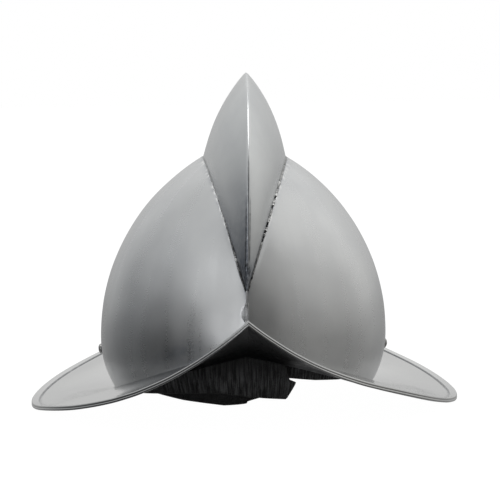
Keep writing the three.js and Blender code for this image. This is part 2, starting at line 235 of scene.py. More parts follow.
def askew(points):  # the hand-made bowl leans a little over its brim
    leaning = points.copy()
    leaning[..., 0] += bowl["lean"] * (points[..., 2] - bowl["bulgeHeight"])
    return leaning


def mirrored(points, side):
    return points * np.array([side, 1, 1])


# The comb's form

comb = {
    "halfWidth": (combHigh.x - combLow.x) / 2,
    "top": combHigh.z,
    "axisHeight": 0.0968,  # its sections turn on a line at this height
    "endTurn": math.radians(92.3),
    "endCrest": 0.0008,
    "endHalfWidth": 0.0006,
    "planPower": 1.95,
    "flankTaper": 0.5,
    "flankPower": 2.6,
    "tuck": 0.005,
    "ridgeWalls": 1.8,
    "sway": 0.023,  # sideways for each metre up
    "bow": 0.0009,  # of its middle towards +X
    "ridgeFlat": 0.0013,  # half-width of the welded strip along the ridge
    "farReach": 0.4,  # beyond the bowl on every side
    "leastHalfWidth": 0.0001,  # of its hollow
    "flankCrowding": 1.25,
    "flatFullWidth": 0.004,  # half-width of the comb from which the strip is whole
    "flatDrop": 0.45,
    "flatDropMost": 1.2,
    "flatRounding": 0.4,
    "dents": [(0.03, 0.0002), (0.011, 0.00006)],
    "quietFoot": (0.002, 0.012),
    "quietRidge": (0.001, 0.006),
    "grindSize": 0.004,  # of the ground ridge's unevenness
    "grindHeight": 0.00010,
    "grindReach": (0.0008, 0.0022),
    "tipSize": 0.0022,
    "tipHeight": 0.00022,
    "tipTurns": (1.40, 1.50),  # where the rough tips start and are whole
    "markRun": 0.45,  # length of its grinding marks from tip to tip
    "stations": 260,
    "flankSteps": 34,
}


def combHalfWidth(turn):
    narrow = comb["endHalfWidth"]
    spread = 1 - np.minimum(np.abs(turn) / comb["endTurn"], 1) ** comb["planPower"]
    return narrow + (comb["halfWidth"] - narrow) * spread


def combBow(turn):
    return comb["bow"] * (1 - np.minimum(np.abs(turn) / comb["endTurn"], 1) ** 2)


def bowlHalfWidthOver(y, z):  # of the bowl at a point of the middle plane, less than nothing outside it
    share = np.abs(y) / np.maximum(bowlHalfLength(z), tiny)
    inside = (share < 1) & (z < crownHeight())
    return np.where(inside, bowlHalfWidth(z) * almond(np.minimum(share, 1), bowl["fullness"]), -1)


def reachOnBowl(turn, halfWidth):  # from the comb's line to where the bowl is that wide
    near = np.zeros(np.shape(turn))
    away = np.full(np.shape(turn), comb["farReach"])
    for _ in range(halvings):
        middle = (near + away) / 2
        z = comb["axisHeight"] + np.cos(turn) * middle
        isInside = bowlHalfWidthOver(np.sin(turn) * middle, z) > halfWidth
        near = np.where(isInside, middle, near)
        away = np.where(isInside, away, middle)
    return near


def ridgeReach(turn):
    end = reachOnBowl(np.array(comb["endTurn"]), 0.0) + comb["endCrest"]
    share = (np.cos(turn) - math.cos(comb["endTurn"])) / (1 - math.cos(comb["endTurn"]))
    return end + (comb["top"] - comb["axisHeight"] - end) * share


def onRay(x, turn, reach):
    return np.stack([x, np.sin(turn) * reach, comb["axisHeight"] + np.cos(turn) * reach], -1)


# Bowl plates

plate = {
    "columns": 220,
    "rows": 96,
    "seamGap": 0.00015,
    "combGap": [  # from the comb to the left and right plate's edge, at a turn from the top in radians
        {"turn": 0.0, "left": 0.0004, "right": 0.0007},
        {"turn": 1.25, "left": 0.0005, "right": 0.0009},
        {"turn": 1.36, "left": 0.0008, "right": 0.0005},
        {"turn": 1.52, "left": 0.0012, "right": 0.0004},
        {"turn": 1.60, "left": 0.0007, "right": 0.0004},
    ],
    "edgeRadius": 0.00045,
    "edgeSteps": [0, 0.06, 0.2, 0.45, 0.8, 1.3, 2.0, 3.0],  # rows beside an edge, in its radii
    "dents": [(0.042, 0.00030), (0.017, 0.00010), (0.006, 0.000006)],  # size and height
    "quietEdge": 0.010,
    "endShare": 0.9995,  # of a meridian, taken for the seam where its ends are looked for
    "underCrown": 1e-6,
    "pastComb": 0.004,  # turn beyond the comb's tips from which nothing stops a plate
    "rimFrom": 0.0011,  # a low uneven rim along the comb, left by grinding
    "rimWidth": 0.0009,
    "rimHeight": {-1: 0.00010, 1: 0.00014},
    "rimLump": 0.0035,
    "rimFade": 0.02,
}
plateMarks = {  # a fade is the distance over which a mark thins out
    "patchSize": 0.011,
    "frontFull": 0.03,  # how far forward the marks of the front alone are whole
    "combBurn": 0.55,
    "combBurnFade": 0.0022,
    "combScorch": 0.5,
    "combScorchFade": 0.0006,
    "seamBurn": 0.8,
    "seamBurnFade": 0.0030,
    "tipScorch": 0.7,  # where comb and seam meet
    "tipFade": 0.007,
    "smudge": {"burnAndShade": 0.6, "y": -0.094, "length": 0.012, "fromFoot": 0.012, "width": 0.006},
    "line": {"from": 0.012, "full": 0.03, "ebb": 0.082, "to": 0.096, "fade": 0.0007},  # along the foot
    "bareFrom": 0.14,  # height from which the rim along the comb is polished
    "bareFull": 0.155,
    "bareFrontDrop": 0.03,
    "bareLump": 0.0030,
    "barePlace": 1.5,  # in the rim's own distance and width
    "bareWidth": 1.6,
}
facet = {"height": 0.0765, "halfHeight": 0.0068, "depth": 0.0007, "tilt": -0.27}  # on the front seam


def groundFlat(points):  # takes the front keel off down to a flat facet
    up = np.clip(1 - ((points[..., 2] - facet["height"]) / facet["halfHeight"]) ** 2, 0, 1) ** 0.5
    flat = (facet["depth"] + facet["tilt"] * points[..., 0]) * up - bowlHalfLength(points[..., 2])
    cut = points.copy()
    cut[..., 1] = np.maximum(points[..., 1], np.where(up > 0, flat, -1))
    return cut


def combGap(side, turn):
    rows = plate["combGap"]
    name = "left" if side < 0 else "right"
    return np.interp(np.abs(turn), [row["turn"] for row in rows], [row[name] for row in rows])


def plateTop(side, share):  # height at which a meridian reaches the comb
    low = footHeight(share)
    high = np.full(share.shape, crownHeight() - plate["underCrown"])
    for _ in range(halvings):
        z = (low + high) / 2
        x, y, _ = np.moveaxis(bowlPoint(share, z), -1, 0)
        turn = np.arctan2(np.abs(y), z - comb["axisHeight"])
        edge = combHalfWidth(turn) + side * combBow(turn) + combGap(side, turn)
        isFree = (x > edge) | (turn > comb["endTurn"] + plate["pastComb"])
        low = np.where(isFree, z, low)
        high = np.where(isFree, high, z)
    return low


def plateSurface(side):
    spread = crowded(plate["columns"])
    bottom = footHeight(spread * plate["endShare"], fitGap)
    top = plateTop(side, spread * plate["endShare"])
    steps = np.array(plate["edgeSteps"]) * plate["edgeRadius"]
    t = np.linspace(0, 1, plate["rows"])[1:-1, None]
    middle = (bottom + steps[-1]) * (1 - t) + (top - steps[-1]) * t
    z = np.concatenate([bottom + steps[:, None], middle, top - steps[::-1, None]])
    share = spread * almondShare(plate["seamGap"] / bowlHalfWidth(z), bowl["fullness"])
    return bowlPoint(share, z)


def plateHeat(surface, side, fromComb, fromSeam, fromFoot):  # what welding and grinding left
    marks = plateMarks
    y, z = surface[..., 1], surface[..., 2]
    patch = 0.5 + 0.5 * noiseAt(mirrored(surface, side), marks["patchSize"], 91)
    isFront = smoothStep(0.0, marks["frontFull"], -y)
    burnAndShade = marks["combBurn"] * fade(fromComb, marks["combBurnFade"])
    burnAndShade = burnAndShade + marks["seamBurn"] * fade(fromSeam, marks["seamBurnFade"]) * patch
    tip = fade(np.hypot(fromComb, fromSeam), marks["tipFade"])
    scorchAndShade = marks["combScorch"] * fade(fromComb, marks["combScorchFade"]) + marks["tipScorch"] * tip * patch
    if side < 0:
        smudge, line = marks["smudge"], marks["line"]
        spot = hump(y - smudge["y"], smudge["length"]) * hump(fromFoot - smudge["fromFoot"], smudge["width"])
        burnAndShade = burnAndShade + smudge["burnAndShade"] * spot * isFront
        run = smoothStep(line["from"], line["full"], -y) * (1 - smoothStep(line["ebb"], line["to"], -y))
        scorchAndShade = scorchAndShade + run * fade(fromFoot, line["fade"]) * (0.5 + 0.5 * patch)
    rim = hump(fromComb - marks["barePlace"] * plate["rimFrom"], marks["bareWidth"] * plate["rimWidth"])
    bare = rim * smoothStep(-0.1, 0.4, noiseAt(surface, marks["bareLump"], 94))
    bare = bare * smoothStep(marks["bareFrom"], marks["bareFull"], z + marks["bareFrontDrop"] * isFront)
    return {"burnAndShade": np.clip(burnAndShade, 0, 1), "scorchAndShade": np.clip(scorchAndShade, 0, 1), "bare": np.clip(bare, 0, 1)}


def makePlate(side, name):
    surface = plateSurface(side)
    normals = gridNormals(surface)
    steps = np.linalg.norm(np.diff(surface, axis=0), axis=-1)
    fromFoot = np.concatenate([np.zeros((1, surface.shape[1])), np.cumsum(steps, 0)])
    fromComb = fromFoot[-1:] - fromFoot
    fromSeam = np.minimum(
        np.linalg.norm(surface - surface[:, :1], axis=-1),
        np.linalg.norm(surface - surface[:, -1:], axis=-1),
    )
    edge = np.minimum(np.minimum(fromFoot, fromComb), fromSeam)
    outward = normals * np.sign(normals[len(normals) // 2, plate["columns"] // 2, 0])
    beaten = lumps(mirrored(surface, side), plate["dents"], 3) * smoothStep(0, plate["quietEdge"], edge)
    rim = plate["rimHeight"][side] * hump(fromComb - plate["rimFrom"], plate["rimWidth"])
    rim = rim * (0.5 + noiseAt(surface, plate["rimLump"], 9))
    beaten = beaten + rim * smoothStep(0, plate["rimFade"], fromSeam)
    drop = roundedDepth(edge, plate["edgeRadius"])
    outer = surface + outward * (beaten - drop)[..., None]
    inner = surface + outward * (beaten + drop - sheet)[..., None]
    outer = mirrored(groundFlat(mirrored(outer, side)), side)
    masks = plateHeat(surface, side, fromComb, fromSeam, fromFoot)
    girth = surface[len(surface) // 3]
    around = np.cumsum(np.linalg.norm(np.diff(girth, axis=0, prepend=girth[:1]), axis=-1))
    masks["along"] = np.broadcast_to(around, edge.shape)
    masks["across"] = surface[..., 2]
    return makeShell(name, askew(mirrored(outer, side)), askew(mirrored(inner, side)), masks)


plateLeft = makePlate(-1, "bowlPlateLeft")
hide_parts("bowl_left")
plateRight = makePlate(1, "bowlPlateRight")
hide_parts("bowl_right")
print("bowl plates made")


# Comb

def combGrid(inset):
    turn = crowded(comb["stations"])[None, :] * comb["endTurn"]
    halfWidth = combHalfWidth(turn)
    base = reachOnBowl(turn, halfWidth)
    ridge = ridgeReach(turn) - comb["ridgeWalls"] * inset
    narrow = np.maximum(halfWidth - inset, comb["leastHalfWidth"])
    t = 1 - np.linspace(1, 0, comb["flankSteps"])[:, None] ** comb["flankCrowding"]
    drawIn = 1 - comb["flankTaper"] * t - (1 - comb["flankTaper"]) * t ** comb["flankPower"]
    flankX = narrow * drawIn
    reach = base + (ridge - base) * t
    # the ridge is a flat strip where it was welded, rounded off
    flat = comb["ridgeFlat"] * np.minimum(1, halfWidth / comb["flatFullWidth"])
    height = np.minimum((ridge - base) / halfWidth, comb["flatDropMost"])
    short = np.clip(flat - flankX, 0, None)
    reach = reach - short * comb["flatDrop"] * height * (short / flat) ** comb["flatRounding"]
    foot = np.concatenate([base - comb["tuck"], base - comb["tuck"] / 2])
    rightX = np.concatenate([np.repeat(narrow, 2, 0), flankX])
    rightReach = np.concatenate([foot, reach])
    x = np.concatenate([rightX, -rightX[-2::-1]])
    reaches = np.concatenate([rightReach, rightReach[-2::-1]])
    x = x + combBow(turn) + comb["sway"] * np.maximum(0, reaches - base)
    fromRidge = np.concatenate([flankX[[0, 0]], flankX, flankX[-2::-1], flankX[[0, 0]]])
    return onRay(x, np.broadcast_to(turn, x.shape), reaches), fromRidge, reaches - base


combMarks = {  # turns are from the top in radians, where a mark starts and where it is whole
    "patchSize": 0.009,
    "streakUp": 0.0009,  # size of the tips' streaks up the flank, along in turn, and across
    "streakTurn": 0.10,
    "streakAcross": 0.0011,
    "lowTurns": (0.85, 1.35),
    "ridgeShadeFade": {"burnAndShade": 0.002, "more": 0.006},  # painted shade beside the ridge, reaching further and darker on the left flank
    # painted shade: a darker band up the flanks above the comb's foot, and a dark line in the groove at the
    # foot
    "footShadeFade": {"burnAndShade": 0.0025, "more": 0.003, "scorchAndShade": 0.0006},
    "footBurn": 0.9,
    "footScorch": 0.8,
    "besideTurns": (1.05, 1.2),
    "besideWidth": 0.0004,
    "besideScorch": 0.9,
    "earlyTurns": (0.8, 1.0),
    "earlyWidth": 0.0006,
    "earlyScorch": 0.7,
    "tipBurn": 0.5,
    "tipScorch": 0.65,
    "tipHides": 0.6,  # share of the line beside the ridge
}


def combHeatAndShade(points, turn, fromRidge, fromFoot):
    marks, ridge, foot = combMarks, combMarks["ridgeShadeFade"], combMarks["footShadeFade"]
    patch = 0.5 + 0.5 * noiseAt(points, marks["patchSize"], 92)
    turns = np.broadcast_to(turn, fromFoot.shape)
    across = np.stack([fromFoot / marks["streakUp"], turns / marks["streakTurn"],
                       points[..., 0] / marks["streakAcross"]], -1)
    streak = smoothStep(-0.1, 0.4, noiseAt(across, 1.0, 93))
    away = np.abs(turn)
    low = smoothStep(*marks["lowTurns"], away)
    isLate = smoothStep(*marks["besideTurns"], away)
    tip = smoothStep(*comb["tipTurns"], away)
    isLeft = points[..., 0] < combBow(turn) + comb["sway"] * fromFoot
    # painted shade: the left flank darker beside the ridge, the right one half as dark and narrower
    burnAndShade = low * fade(fromRidge, ridge["burnAndShade"] + ridge["more"] * isLeft) * (0.5 + 0.5 * isLeft)
    # painted shade: a darker band along the flanks above the foot
    edge = fade(fromFoot, foot["burnAndShade"] + foot["more"] * isLeft)
    burnAndShade = burnAndShade + low * marks["footBurn"] * edge * (0.6 + 0.4 * patch)
    beside = hump(fromRidge - comb["ridgeFlat"], marks["besideWidth"]) * isLate
    early = hump(fromRidge, marks["earlyWidth"]) * smoothStep(*marks["earlyTurns"], away) * (1 - isLate)
    scorchAndShade = marks["besideScorch"] * beside * (1 - marks["tipHides"] * tip)
    scorchAndShade = scorchAndShade + marks["earlyScorch"] * early * (0.4 + 0.6 * patch)
    # painted shade: a dark line in the groove at the comb's foot
    scorchAndShade = scorchAndShade + marks["footScorch"] * fade(fromFoot, foot["scorchAndShade"]) * low
    scorchAndShade = scorchAndShade + marks["tipScorch"] * tip * streak
    return {"burnAndShade": np.clip(burnAndShade + marks["tipBurn"] * tip, 0, 1), "scorchAndShade": np.clip(scorchAndShade, 0, 1)}


def makeComb():
    outer, fromRidge, fromFoot = combGrid(0.0)
    inner = combGrid(sheet)[0]
    normals = gridNormals(outer)
    normals = normals * np.sign(normals[10, comb["stations"] // 2, 0])  # out of the right flank
    quiet = smoothStep(*comb["quietFoot"], fromFoot) * smoothStep(*comb["quietRidge"], fromRidge)
    beaten = lumps(outer, comb["dents"], 21) * quiet
    onRidge = 1 - smoothStep(*comb["grindReach"], fromRidge)
    ground = noiseAt(outer, comb["grindSize"], 23) * comb["grindHeight"] * onRidge
    turn = crowded(comb["stations"])[None, :] * comb["endTurn"]
    atTip = smoothStep(*comb["tipTurns"], np.abs(turn))
    ground = ground + noiseAt(outer, comb["tipSize"], 24) * comb["tipHeight"] * atTip
    outer = outer + normals * (beaten + ground)[..., None]
    masks = combHeatAndShade(outer, turn, fromRidge, np.maximum(fromFoot, 0))
    masks["along"] = np.broadcast_to(np.linspace(0, comb["markRun"], outer.shape[1]), fromRidge.shape)
    masks["across"] = fromFoot
    return makeShell("combShell", askew(outer), askew(inner), masks)


combShell = makeComb()
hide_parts("comb")
print("comb made")


# Brim

hem = {
    "width": 0.0055,
    "thickness": 0.0034,
    "step": 0.0006,
    "round": 0.0008,
    "notch": 0.0005,
    "lipRound": 0.0004,
    "lipFrom": 0.0006,  # where the lip's rounding has its middle
    "crevice": 0.0003,  # depth under the brim's face
    "dip": 0.0001,  # of the side into its notch
    "waver": 0.00016,
    "waverSize": 0.014,
    "waverReach": (0.004, 0.010),
    "waverHeights": (0.012, 0.03),  # least where the brim stands on its edge
    "waverLeast": 0.3,
    # painted shade: the hem's notch and the crevice under its lip are darkened
    "groove": {"beyond": 0.0001, "width": 0.00035, "burnAndShade": 0.5, "scorchAndShade": 0.5},
    "crack": {"from": 0.0003, "width": 0.0002, "scorchAndShade": 0.3},
}
brim = {
    "halfLength": brimHigh.y,
    "fullness": 0.43,
    "curlShare": 0.5,  # of the edge's rise that comes in the upturned beaks
    "curlPower": 8,
    "standShare": 0.012 / brimHigh.y,
    "seatLip": 0.002,
    "seatLand": 0.0015,
    "slopeAtSeat": 0.6,
    "slopeAtSide": -0.22,
    "slopeAtBeak": 0.5,
    "twist": math.tan(math.radians(1.8)),  # of its front, down on the left and up on the right
    "twistFrom": 0.35,
    "twistTo": 0.85,
    "drop": 0.0015,  # of the front beak under the back one
    "dropFrom": 0.62,
    "dropTo": 0.98,
    "edgeRound": 0.0004,
    "slopeGap": 0.0003,  # between the slope's last row and the hem
    "seatSteps": [0, 0.02, 0.06, 0.12, 0.3, 0.5, 0.7, 1],
    "dents": [(0.045, 0.00035), (0.015, 0.00008)],
    "quietFoot": 0.012,
    "quietHem": (0.004, 0.012),
    # painted reflection: the bowl's dark reflection on the brim beside its foot, at the front left
    "bowlReflection": {"burnAndShade": 0.95, "reach": 0.019, "front": (0.082, 0.105), "left": (0.006, 0.026)},
    "scale": {"underShade": 1.8, "wornAndLit": 1.2, "left": (0.005, 0.02), "reach": 0.010},  # painted shade under the brim, lighter towards the hem on the left
    "stations": 300,
    "slopeSteps": 26,
}


def sweepAt(along):
    return (1 - brim["curlShare"]) * along**2 + brim["curlShare"] * along ** brim["curlPower"]


brimHalfWidth = brimHigh.x / almond(brim["standShare"], brim["fullness"])
edgeRise = (brimHigh.z - hem["thickness"]) / (1 - sweepAt(brim["standShare"]))


def edgePoint(share, side):  # as if on the right, with the height of its own side
    sweep = np.maximum(0, sweepAt(np.abs(share)) - sweepAt(brim["standShare"]))
    x = brimHalfWidth * almond(share, brim["fullness"])
    twist = side * x * brim["twist"] * smoothStep(brim["twistFrom"], brim["twistTo"], -share)
    drop = brim["drop"] * smoothStep(brim["dropFrom"], brim["dropTo"], -share)
    z = hem["thickness"] / 2 + edgeRise * sweep + twist - drop
    return np.stack([x, brim["halfLength"] * share, z], -1)


def arc(centre, radius, start, end, steps):
    turns = np.radians(np.linspace(start, end, steps))
    return [(centre[0] + radius * math.cos(a), centre[1] + radius * math.sin(a)) for a in turns]


def hemProfile():  # distance from where the hem starts and height over its middle, from the top in
    width, half, radius, notch = hem["width"], hem["thickness"] / 2, hem["round"], hem["notch"]
    small, start = hem["lipRound"], hem["lipFrom"]
    crevice = [(0.0, half - hem["step"] - hem["crevice"])]
    lip = arc((start, half - small), small, 180, 90, 5)
    top = [(width * 0.3, half + 0.00005), (width * 0.55, half + 0.00006)]
    shoulder = arc((width - radius, half - radius), radius, 90, 0, 6)
    inset = width - hem["dip"]
    side = [(width, notch), (inset, notch * 0.45), (width - notch, 0), (inset, -notch * 0.45)]
    under = arc((width - radius, radius - half), radius, 0, -90, 6)
    back = [(width * 0.5, -half), (0.0008, -half)] + arc((start, small - half), small, -90, -180, 4)
    return np.array(crevice + lip + top + shoulder + side + [(width, -notch)] + under + back)


def brimSections(share, side):
    footZ = footHeight(share)
    foot = bowlPoint(share, footZ)
    edge = edgePoint(share, side)
    across = unit((edge - foot) * np.array([1, 1, 0]))
    width = np.linalg.norm((edge - foot)[:, :2], axis=-1)
    hemStart = (width - hem["width"])[:, None]
    run = hemStart - brim["seatLand"]
    edgeTop = edge[:, 2:3] + hem["thickness"] / 2 - hem["step"]
    seatSlope = (2 * bowl["seatRise"] * foot[:, 1] / footHalfLength**2 * across[:, 1])[:, None]
    seatSlope = seatSlope * brim["slopeAtSeat"]
    edgeSlope = brim["slopeAtSide"] + (brim["slopeAtBeak"] - brim["slopeAtSide"]) * share[:, None] ** 4
    seatAt = lambda d: seatTop(foot[:, 1:2] + across[:, 1:2] * d)
    inner = -(sheet + brim["seatLip"])
    seat = inner + (brim["seatLand"] - inner) * np.array([brim["seatSteps"]])
    seat = np.repeat(seat, len(share), 0)
    t = np.linspace(0, 1, brim["slopeSteps"])[None, 1:]
    slope = brim["seatLand"] + t * (run - brim["slopeGap"])
    t = (slope - brim["seatLand"]) / run
    fromSeat = (2 * t**3 - 3 * t**2 + 1) * seatAt(brim["seatLand"]) + (t**3 - 2 * t**2 + t) * run * seatSlope
    slopeTop = fromSeat + (3 * t**2 - 2 * t**3) * edgeTop + (t**3 - t**2) * run * edgeSlope
    topD = np.concatenate([seat, slope], 1)
    topZ = np.concatenate([seatAt(seat), slopeTop], 1)
    rounding = roundedDepth(topD - inner, brim["edgeRound"])
    profile = hemProfile()
    hemD = hemStart + profile[:, 0]
    hemZ = edge[:, 2:3] + profile[:, 1]
    d = np.concatenate([topD, hemD, topD[:, ::-1]], 1)
    z = np.concatenate([topZ - rounding, hemZ, (topZ + rounding - sheet)[:, ::-1]], 1)
    points = foot[:, None, :] * np.array([1, 1, 0]) + across[:, None, :] * d[..., None]
    points[..., 2] = z
    fromHem = (hemStart + hem["width"]) - d
    return points, fromHem, d


def makeBrim():
    share = crowded(brim["stations"])
    points, fromHem, fromFoot = brimSections(share, 1)
    others = brimSections(share, -1)[0]
    rings = np.concatenate([points, mirrored(others[-2:0:-1], -1)])
    fromHem = np.concatenate([fromHem, fromHem[-2:0:-1]])
    fromFoot = np.concatenate([fromFoot, fromFoot[-2:0:-1]])
    left, front = -rings[..., 0], -rings[..., 1]
    stands = smoothStep(*hem["waverHeights"], rings[..., 2])
    waver = noiseAt(rings, hem["waverSize"], 31) * hem["waver"]
    waver = waver * (1 - smoothStep(*hem["waverReach"], fromHem))
    waver = waver * (hem["waverLeast"] + (1 - hem["waverLeast"]) * stands)
    beaten = lumps(rings, brim["dents"], 32) * smoothStep(0, brim["quietFoot"], fromFoot)
    beaten = beaten * smoothStep(*brim["quietHem"], fromHem)
    groove, crack, bowlReflection, scale = hem["groove"], hem["crack"], brim["bowlReflection"], brim["scale"]
    inGroove = hump(fromHem - hem["width"] - groove["beyond"], groove["width"])
    inCrack = hump(fromHem - crack["from"], crack["width"])
    isUnder = np.arange(rings.shape[1]) >= rings.shape[1] - brim["slopeSteps"] - len(brim["seatSteps"]) + 1
    # painted shade under the brim: dark all over, painted lighter towards the hem on the left
    wornAndLit = smoothStep(*scale["left"], left) * fade(fromHem, scale["reach"])
    # painted reflection of the bowl on the brim beside its foot, at the front left
    reflectionShare = smoothStep(*bowlReflection["front"], front) * smoothStep(*bowlReflection["left"], left)
    reflectionShare = reflectionShare * hump(fromFoot, bowlReflection["reach"])
    rings[..., 2] += beaten + waver
    step = np.linalg.norm(np.diff(rings[:, 40], axis=0, prepend=rings[:1, 40]), axis=-1)
    # painted shade in the hem's notch and crevice
    scorchAndShade = groove["scorchAndShade"] * inGroove + crack["scorchAndShade"] * inCrack
    masks = {
        "burnAndShade": np.clip(groove["burnAndShade"] * inGroove + bowlReflection["burnAndShade"] * reflectionShare, 0, 1),
        "scorchAndShade": scorchAndShade + isUnder * (scale["underShade"] - scale["wornAndLit"] * wornAndLit),
        "along": np.broadcast_to(np.cumsum(step)[:, None], fromHem.shape),
        "across": fromHem,
    }
    return makeTube("brimShell", rings, masks, isLoop=True)


brimShell = makeBrim()
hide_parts("brim")
print("brim made")


# Welds

seam = {  # the bead down the front and back seams
    "rows": 150,
    "columns": 21,
    "belowAxis": 0.0005,  # of its top under the line that the comb's sections turn on
    "halfWidth": 0.0017,
    "widthLump": {"size": 0.0032, "share": 0.35},
    "lump": {"size": 0.0075, "share": 0.25},
    "grain": 0.0016,
    "height": 0.00035,
    "crown": {"plain": 0.55, "lump": 0.8, "grain": 0.3},
    "endFades": (0.003, 0.002),  # at its foot and top
    "groundShare": 0.35,  # of its width left where the front seam is ground to a keel
    "facetReach": (1.25, 0.8),
    "groundCrown": {"keel": 0.25, "facet": 0.45},
    "proud": 0.00022,
    "sunk": 0.0004,  # of its edges
    "depth": 0.0012,
}
bead = {  # down the groove beside the comb, with turns from the top in radians
    "stations": 1100,
    "sides": 14,
    "endShare": 0.997,
    "heartBelow": 0.05,  # how far under the comb's line the point is that it sinks towards
    "lump": 0.0040,
    "grain": 0.0013,
    "wide": 1.25,  # of its section, for each height
    "frontFull": 0.02,
    "right": {  # ragged, with holes in it, and ground smooth near the tips
        "size": 0.00070, "lump": 0.3, "grain": 0.5, "ragged": (0.5, 0.8), "ground": (1.26, 1.38),
        "sink": 0.00060, "raggedRise": 0.0002, "pitSink": 0.0010, "groundRise": 0.0003,
        "holes": [(0.93, 0.008), (1.03, 0.009), (1.18, 0.012), (1.24, 0.006), (1.28, 0.006)],  # turn, size
    },
    "left": {  # sunk in the groove, but for a short risen stretch in front
        "size": 0.00062, "lump": 0.3, "grain": 0.35, "rises": (1.36, 1.40), "ends": (1.46, 1.51),
        "sink": 0.00085, "rise": 0.00095, "pit": 0.5, "pitted": (1.2, 1.4),
    },
}
fillet = {  # between the bowl's foot and the brim
    "stations": 420,
    "bowlShare": 0.9999,
    "size": 0.0010,
    "lumps": [(0.012, 0.35), (0.003, 0.15)],
    "seatLift": 0.00002,
    "bend": 0.25,
    "bendLift": 0.0003,
    "depth": 0.0009,
    "insideTop": 0.0010,
    "insideDrop": 0.0002,
    "openFrom": 0.012,  # in front of the middle, where it is ground away on the left
    "openTo": 0.096,
    "openFades": (0.02, 0.014),
    "openShare": 0.75,
}


def seamWeld(end, name):  # end is -1 at the front and 1 at the back
    low = float(footHeight(np.array(1.0))) + fitGap
    high = comb["axisHeight"] - seam["belowAxis"]
    z = np.linspace(low, high, seam["rows"])[:, None]
    t = np.linspace(-1, 1, seam["columns"])[None, :]
    centre = np.stack([np.zeros_like(z[:, 0]), end * bowlHalfLength(z[:, 0]), z[:, 0]], -1)
    wide = noiseAt(centre, seam["widthLump"]["size"], 41 + end)[:, None]
    lump = noiseAt(centre, seam["lump"]["size"], 43 + end)[:, None]
    onFacet = smoothStep(*seam["facetReach"], np.abs(z - facet["height"]) / facet["halfHeight"])
    halfWidth = seam["halfWidth"] * (1 + seam["widthLump"]["share"] * wide + seam["lump"]["share"] * lump)
    if end < 0:
        isWhole = np.maximum(onFacet, z < facet["height"])
        halfWidth = halfWidth * (seam["groundShare"] + (1 - seam["groundShare"]) * isWhole)
    x = halfWidth * t
    share = almondShare(np.abs(x) / bowlHalfWidth(z), bowl["fullness"])
    y = end * bowlHalfLength(z) * share
    surface = np.stack([x, y, np.broadcast_to(z, x.shape)], -1)
    atFoot, atTop = seam["endFades"]
    ends = smoothStep(0, atFoot, z - low) * smoothStep(0, atTop, high - z)
    grain, parts = noiseAt(surface, seam["grain"], 45), seam["crown"]
    crown = seam["height"] * (parts["plain"] + parts["lump"] * lump + parts["grain"] * grain)
    crown = crown * (1 - t**4) * ends
    if end < 0:
        crown = crown * (seam["groundCrown"]["keel"] + seam["groundCrown"]["facet"] * onFacet)
        surface = groundFlat(surface)
    lift = crown + seam["proud"] * (1 - t**6) - seam["sunk"] * t**6
    outer = surface + np.array([0, end, 0]) * lift[..., None]
    inner = surface - np.array([0, end * seam["depth"], 0])
    return makeShell(name, askew(outer), askew(inner))


def combWeld(side, name):  # down the groove between the comb's flank and a plate
    turn = crowded(bead["stations"]) * comb["endTurn"] * bead["endShare"]
    halfWidth = combHalfWidth(turn) + side * combBow(turn) + combGap(side, turn) / 2
    centre = onRay(halfWidth * side, turn, reachOnBowl(turn, halfWidth))
    inward = unit(centre - np.array([0, 0, comb["axisHeight"] - bead["heartBelow"]]))
    forward = unit(np.gradient(centre, axis=0))
    sideways = unit(np.cross(forward, inward))
    lump = noiseAt(centre, bead["lump"], 51 + side)
    fine = noiseAt(centre, bead["grain"], 53 + side)
    away = np.abs(turn)
    if side > 0:
        kind = bead["right"]
        pit = smoothStep(0.25, 0.6, -lump)
        for at, size in kind["holes"]:
            pit = np.maximum(pit, hump(turn + at, size))
        isGround = smoothStep(*kind["ground"], away)
        ragged = smoothStep(*kind["ragged"], away) * (1 - isGround)
        size = kind["size"] * (1 + (kind["lump"] * lump + kind["grain"] * fine) * ragged)
        sink = kind["sink"] - kind["raggedRise"] * ragged + kind["pitSink"] * pit * ragged
        sink = sink - kind["groundRise"] * isGround
        bare = smoothStep(0.0, 0.5, fine + 0.5 * lump) * ragged * (1 - pit)
    else:
        kind = bead["left"]
        size = kind["size"] * (1 + kind["lump"] * lump + kind["grain"] * fine)
        risen = smoothStep(*kind["rises"], away) * (1 - smoothStep(*kind["ends"], away))
        risen = risen * smoothStep(0, bead["frontFull"], -centre[:, 1])
        sink = kind["sink"] - kind["rise"] * risen
        bare = risen * smoothStep(-0.4, 0.3, fine + lump)
        pit = kind["pit"] * smoothStep(*kind["pitted"], away) * (1 - risen)
    centre = centre - inward * sink[:, None]
    around = np.linspace(0, 2 * math.pi, bead["sides"], endpoint=False)
    offsets = (np.cos(around)[None, :, None] * sideways[:, None, :] * bead["wide"]
               + np.sin(around)[None, :, None] * inward[:, None, :])
    rings = centre[:, None, :] + offsets * size[:, None, None]
    masks = {k: np.broadcast_to(v[:, None], rings.shape[:2]) for k, v in (("bare", bare), ("pit", pit))}
    return makeTube(name, askew(rings), masks)


